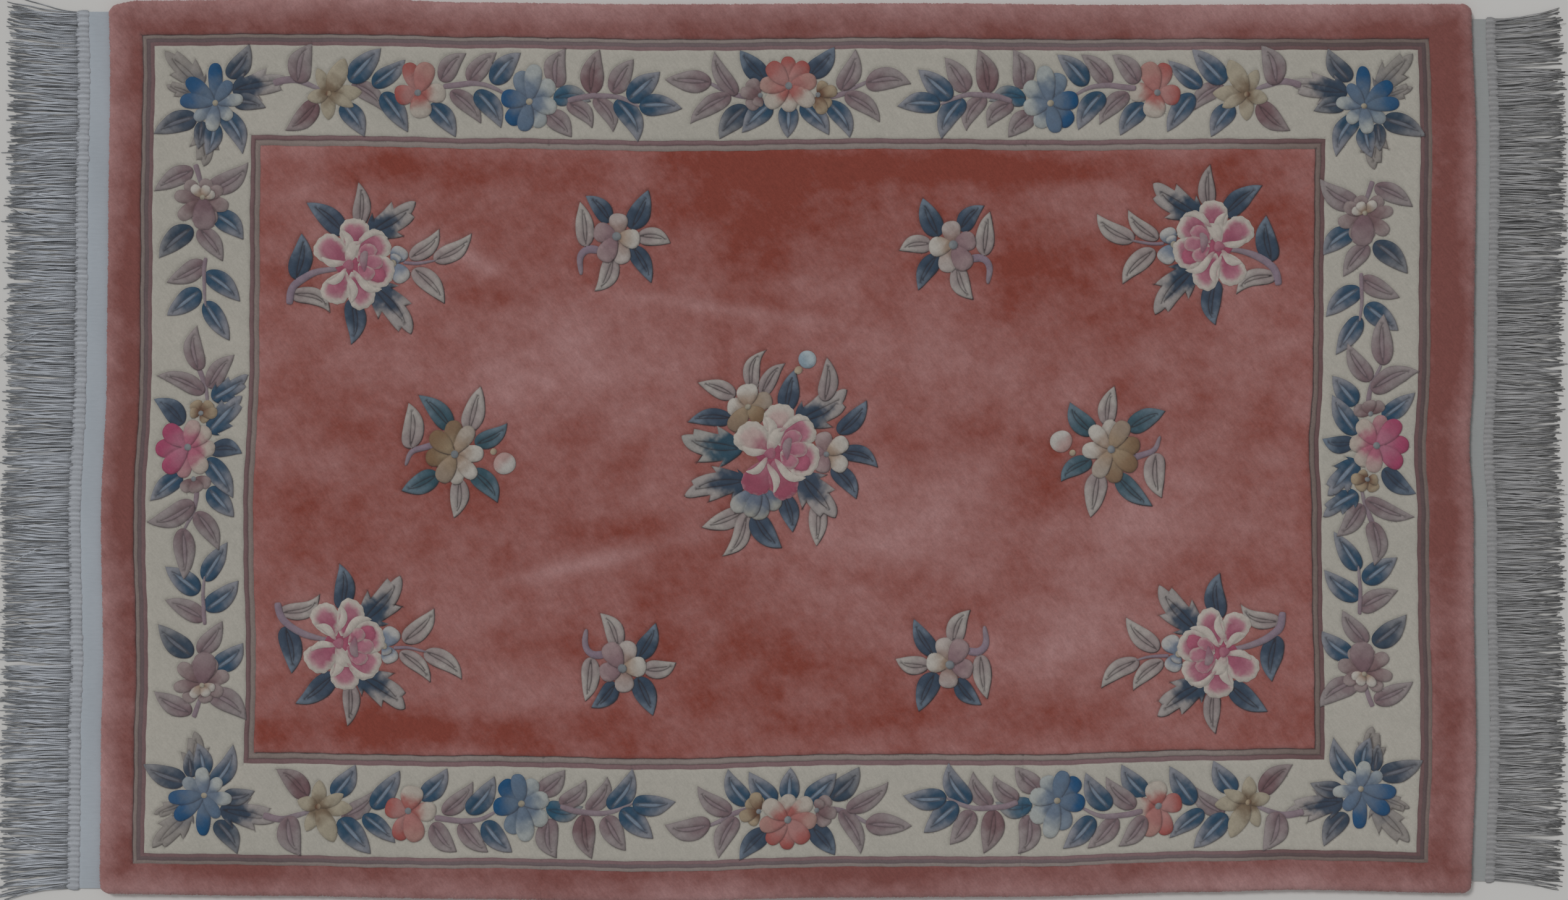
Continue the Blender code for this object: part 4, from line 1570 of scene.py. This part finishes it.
@dataclass(frozen=True)
class End:
    """One end of the rug, where the warps leave the pile."""

    name: str
    out: int
    edge: float
    half: float
    web_width: float
    root_width: float
    fringe_length: float
    cloth: Colour
    yarn: Colour

    def edge_at(self, across: Points) -> Points:
        """Return where the pile's edge lies at places across the rug."""
        points = np.column_stack((np.full(len(across), self.edge), across))
        return settled(points)[:, 0]

    def out_from_edge(self, across: Points, distance: Any) -> Points:
        """Return how far along the rug a distance out from the pile lies."""
        return self.edge_at(across) + self.out * distance


ENDS = (
    End("left", -1, PILE.left, 0.598, 30 * MM, 15 * MM, 93 * MM, wool(153, 160, 167), wool(165, 169, 175)),
    End("right", 1, PILE.right, 0.588, 21 * MM, 12 * MM, 90 * MM, wool(141, 144, 144), wool(148, 148, 149)),
)


@dataclass
class Web:
    """The flat-woven cotton band between the pile and the knots at one end."""

    end: End
    steps: int = 260
    rows: int = 9
    tuck: float = 1.7 * MM
    thinning: float = 0.25
    crease: float = 0.9

    def build(self, finish: bpy.types.Material) -> None:
        """Build the band as a closed sheet with slightly rounded long sides, and dress it."""
        work = bmesh.new()
        bmesh.ops.create_grid(work, x_segments=self.rows, y_segments=self.steps, size=1.0)
        tops = set(points_of(bmesh.ops.extrude_face_region(work, geom=work.faces[:])["geom"]))
        for vert in work.verts:
            share, across = (vert.co.x + 1) / 2, vert.co.y * self.end.half
            swell = WEB_HEIGHT * (1 - self.thinning * abs(2 * share - 1) ** 6)
            distance = share * (self.end.web_width - CLEARANCE + self.tuck) - self.tuck
            along = self.end.out_from_edge(np.array([across]), distance)[0]
            vert.co = Vector((along, across, swell if vert in tops else 0.0))
        bmesh.ops.recalc_face_normals(work, faces=work.faces)
        for edge in work.edges:
            edge.smooth = edge.calc_face_angle(0) < self.crease
        piece = show(f"web_{self.end.name}_cloth", meshed("web", work), finish)
        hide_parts(f"web_{self.end.name}")
        2 * self.end.half


@dataclass
class Fringe:
    """The row of knots at one end and the plied yarns that leave them."""

    end: End
    pitch: float = 7.0 * MM
    yarns: int = 7
    rings: int = 12
    sides: int = 4
    strays: int = 16
    yarn_radius: float = 0.8 * MM
    fan_reach: float = 16 * MM
    fan_power: int = 12
    sway: float = 3 * MM
    sway_period: float = 0.21
    bunch: float = 2.2 * MM
    lift: float = 1.4 * MM
    arch: float = 3.4 * MM
    taper: float = 0.35
    under: float = 3 * MM
    knot_drift: float = 0.35 * MM
    knot_stagger: float = 0.5 * MM
    knot_share: float = 0.62
    knot_width: float = 6.4 * MM
    knot_height: float = 1.4 * MM
    knot_blunt: float = 0.6
    knot_narrowing: float = 0.2

    def __post_init__(self) -> None:
        """Space the knots and seed the fringe's unevenness."""
        count = int(2 * self.end.half / self.pitch)
        self.knots = (np.arange(count) + 0.5) * (2 * self.end.half / count) - self.end.half
        self.random = np.random.default_rng(20 + self.end.out)
        self.knots += self.random.normal(0, self.knot_drift, count)

    def knot_row(self, finish: bpy.types.Material) -> None:
        """Build the row of wrapped knots over the root of the fringe."""
        one = bmesh.new()
        bmesh.ops.create_uvsphere(one, u_segments=8, v_segments=6, radius=1.0)
        bmesh.ops.rotate(one, verts=one.verts, matrix=Matrix.Rotation(math.pi / 2, 3, "Y"))
        template = meshed("knot", one)
        shape, count, root = coordinates(template), len(self.knots), self.end.root_width
        size = self.random.normal(1, 0.05, (3, count, 1))
        length, wide = self.knot_share * root * size[0], self.knot_width * size[1]
        middle = self.end.out_from_edge(self.knots, self.end.web_width + root / 2)
        middle += self.random.normal(0, self.knot_stagger, count)
        x = middle[:, None] + length * np.sign(shape[:, 0]) * np.abs(shape[:, 0]) ** self.knot_blunt
        narrowed = 1 - self.knot_narrowing * shape[:, 0] * self.end.out
        y = self.knots[:, None] + wide * shape[:, 1] * narrowed
        z = self.knot_height * size[2] * (1.0 + shape[:, 2]) + 0.1 * MM
        mesh = repeated("knots", template, count)
        set_coordinates(mesh, np.stack((x, y, z), axis=2))
        self.map_yarn(mesh, np.abs(shape[:, 0]) * 0.5 * MM, shape[:, 1] / 2, count)
        show(f"knots_{self.end.name}", mesh, finish)

    def strand_shape(self) -> bpy.types.Mesh:
        """Return one straight strand: its points' x is the share along, y and z lie round it."""
        one = bmesh.new()
        bmesh.ops.create_circle(one, segments=self.sides, radius=1.0)
        bmesh.ops.rotate(one, verts=one.verts, matrix=Matrix.Rotation(math.pi / 2, 3, "Y"))
        root = tip = one.edges[:]
        for _ in range(self.rings - 1):
            grown = bmesh.ops.extrude_edge_only(one, edges=tip)["geom"]
            bmesh.ops.translate(one, verts=points_of(grown), vec=(1 / (self.rings - 1), 0, 0))
            tip = rim_of(grown)
        bmesh.ops.edgeloop_fill(one, edges=root)
        bmesh.ops.edgeloop_fill(one, edges=tip)
        bmesh.ops.recalc_face_normals(one, faces=one.faces)
        return meshed("strand", one)

    def strands(self, finish: bpy.types.Material) -> None:
        """Build the plied yarns, lying on the floor from the knots to their uneven tips."""
        template = self.strand_shape()
        shape = coordinates(template)
        total = len(self.knots) * self.yarns
        along = np.clip(shape[:, 0], 0, 1)[None, :]
        root = np.repeat(self.knots, self.yarns)[:, None]
        place = np.tile(np.arange(self.yarns) - (self.yarns - 1) / 2, len(self.knots))[:, None]
        draw = self.random
        side = place + draw.normal(0, 0.35, (total, 1))
        loose = (draw.permutation(total) < self.strays)[:, None]
        fan = self.fan_reach * np.sign(root) * np.abs(root / self.end.half) ** self.fan_power
        sway = self.sway * np.sin(2 * math.pi * root / self.sway_period + self.end.out)
        sway += self.bunch * np.sin(root / 0.0075 + 2 * np.sin(root / 0.017))
        spread = self.pitch / self.yarns * side
        curl = draw.uniform(0.3, 1.5, (total, 1)) * MM * np.sin(
            draw.uniform(6, 15, (total, 1)) * along + draw.uniform(0, 6.3, (total, 1))) * along**0.6
        stray = draw.normal(0, 4.2, (total, 1)) * MM * along**1.4
        stray += loose * draw.normal(0, 22, (total, 1)) * MM * along**2
        y = root + spread + fan * along**1.5 + sway * along**1.3 + curl + stray
        length = self.end.fringe_length + (draw.normal(-2, 3.8, (total, 1)) + 8 * loose) * MM
        start = self.end.out_from_edge(root[:, 0], self.end.web_width + self.end.root_width - self.under)
        x = start[:, None] + self.end.out * (length + self.under) * along
        layer = draw.uniform(0, 1, (total, 1)) + 1.2 * loose
        z = self.yarn_radius + (self.lift * (1 - along) + self.arch * np.sin(math.pi * along**0.8)) * layer
        taper = 1 - self.taper * np.clip(along - 0.75, 0, 1) / 0.25
        radius = self.yarn_radius * taper * draw.uniform(0.75, 1.15, (total, 1)) * (1 - 0.45 * loose)
        y = y + self.end.out * radius * shape[:, 1][None, :]
        z = np.maximum(z + radius * shape[:, 2][None, :], 0.05 * MM)
        mesh = repeated("strands", template, total)
        set_coordinates(mesh, np.stack((x, y, z), axis=2))
        turn = np.arctan2(shape[:, 2], shape[:, 1]) / (2 * math.pi)
        self.map_yarn(mesh, shape[:, 0] * self.end.fringe_length, turn, total)
        piece = show(f"strands_{self.end.name}", mesh, finish)
        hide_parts(f"fringe_{self.end.name}")

    def map_yarn(self, mesh: bpy.types.Mesh, along: Points, turn: Points, count: int) -> None:
        """Give a mesh the map that its plies follow.

        Args:
            mesh: so many copies of one shape.
            along: how far along the yarn each point of the shape lies, in metres.
            turn: how far round the yarn each point lies, in turns.
            count: how many copies the mesh holds.
        """
        corners_of = np.empty(len(mesh.loops), np.int32)
        mesh.loops.foreach_get("vertex_index", corners_of)
        spots = np.tile(np.column_stack((along, turn)), (count, 1))[corners_of]
        mesh.uv_layers.new(name="yarn").uv.foreach_set("vector", spots.astype(np.float32).ravel())

    def build(self, wrapped: bpy.types.Material, loose: bpy.types.Material) -> None:
        """Build the knots and the strands of one end."""
        self.knot_row(wrapped)
        self.strands(loose)


@dataclass(frozen=True)
class Studio:
    """The floor, the soft lamps and the camera straight above the rug."""

    seen_width: float = 2.131
    lens: float = 50.0
    sensor: float = 36.0
    dome: float = 0.33
    lamp_share: float = 0.23
    lamp_height: float = 48.0
    lamp_side: float = 135.0
    lamp_softness: float = 16.0
    floor_half: float = 9.0
    floor_drop: float = 0.2 * MM

    def build(self) -> None:
        """Build the studio."""
        self.lay_floor()
        self.hang_lamps()
        self.set_camera()

    def lay_floor(self) -> None:
        """Lay the floor just under the rug."""
        work = bmesh.new()
        bmesh.ops.create_grid(work, x_segments=2, y_segments=2, size=self.floor_half)
        bmesh.ops.translate(work, verts=work.verts, vec=(0, 0, -self.floor_drop))
        floor = bpy.data.objects.new("floor", meshed("floor", work))
        bpy.context.scene.collection.objects.link(floor)
        floor.data.materials.append(PaleFloor().material())

    def hang_lamps(self) -> None:
        """Light the rug with a pale dome and one broad soft lamp from the upper left."""
        world = bpy.data.worlds.new("studio")
        world.use_nodes = True
        ground = world.node_tree.nodes["Background"]
        ground.inputs["Color"].default_value = (1.0, 1.0, 1.0, 1.0)
        ground.inputs["Strength"].default_value = self.dome
        bpy.context.scene.world = world
        height, side = math.radians(self.lamp_height), math.radians(self.lamp_side)
        lamp = bpy.data.lights.new("soft_lamp", "SUN")
        lamp.energy = self.lamp_share * math.pi / math.sin(height)
        lamp.angle = math.radians(self.lamp_softness)
        hung = bpy.data.objects.new("soft_lamp", lamp)
        towards = Vector((math.cos(side) * math.cos(height), math.sin(side) * math.cos(height),
                          math.sin(height)))
        hung.rotation_euler = towards.to_track_quat("Z", "Y").to_euler()
        bpy.context.scene.collection.objects.link(hung)

    def set_camera(self) -> None:
        """Set the camera straight above, so that it frames the rug edge to edge."""
        camera = bpy.data.cameras.new("camera")
        camera.lens, camera.sensor_width = self.lens, self.sensor
        camera.clip_start, camera.clip_end = 0.05, 50.0
        held = bpy.data.objects.new("camera", camera)
        distance = self.seen_width / self.sensor * self.lens
        held.location = (0, 0, PILE_HEIGHT + distance)
        bpy.context.scene.collection.objects.link(held)
        bpy.context.scene.camera = held
        bpy.context.scene.view_settings.view_transform = "Standard"


def main() -> None:
    """Build the rug's pieces in the order in which a workshop would, then the studio."""
    logging.basicConfig(level=logging.INFO, format="%(message)s")
    wool_finish = CarvedWool().material()
    pile = CarvedPile()
    log.info("design: %d pieces, %d carved lines", len(pile.patches), len(pile.lines))
    pile.build(wool_finish)
    for end in ENDS:
        Web(end).build(WovenCotton(f"woven_cotton_{end.name}", end.cloth).material())
        wrapped = PliedCotton(f"wrapped_cotton_{end.name}", end.yarn, streaking=0.5, shading=0.1,
                              ground=0.28)
        plied = PliedCotton(f"plied_cotton_{end.name}", end.yarn)
        Fringe(end).build(wrapped.material(), plied.material())
    Studio().build()


if __name__ == "__main__":
    main()
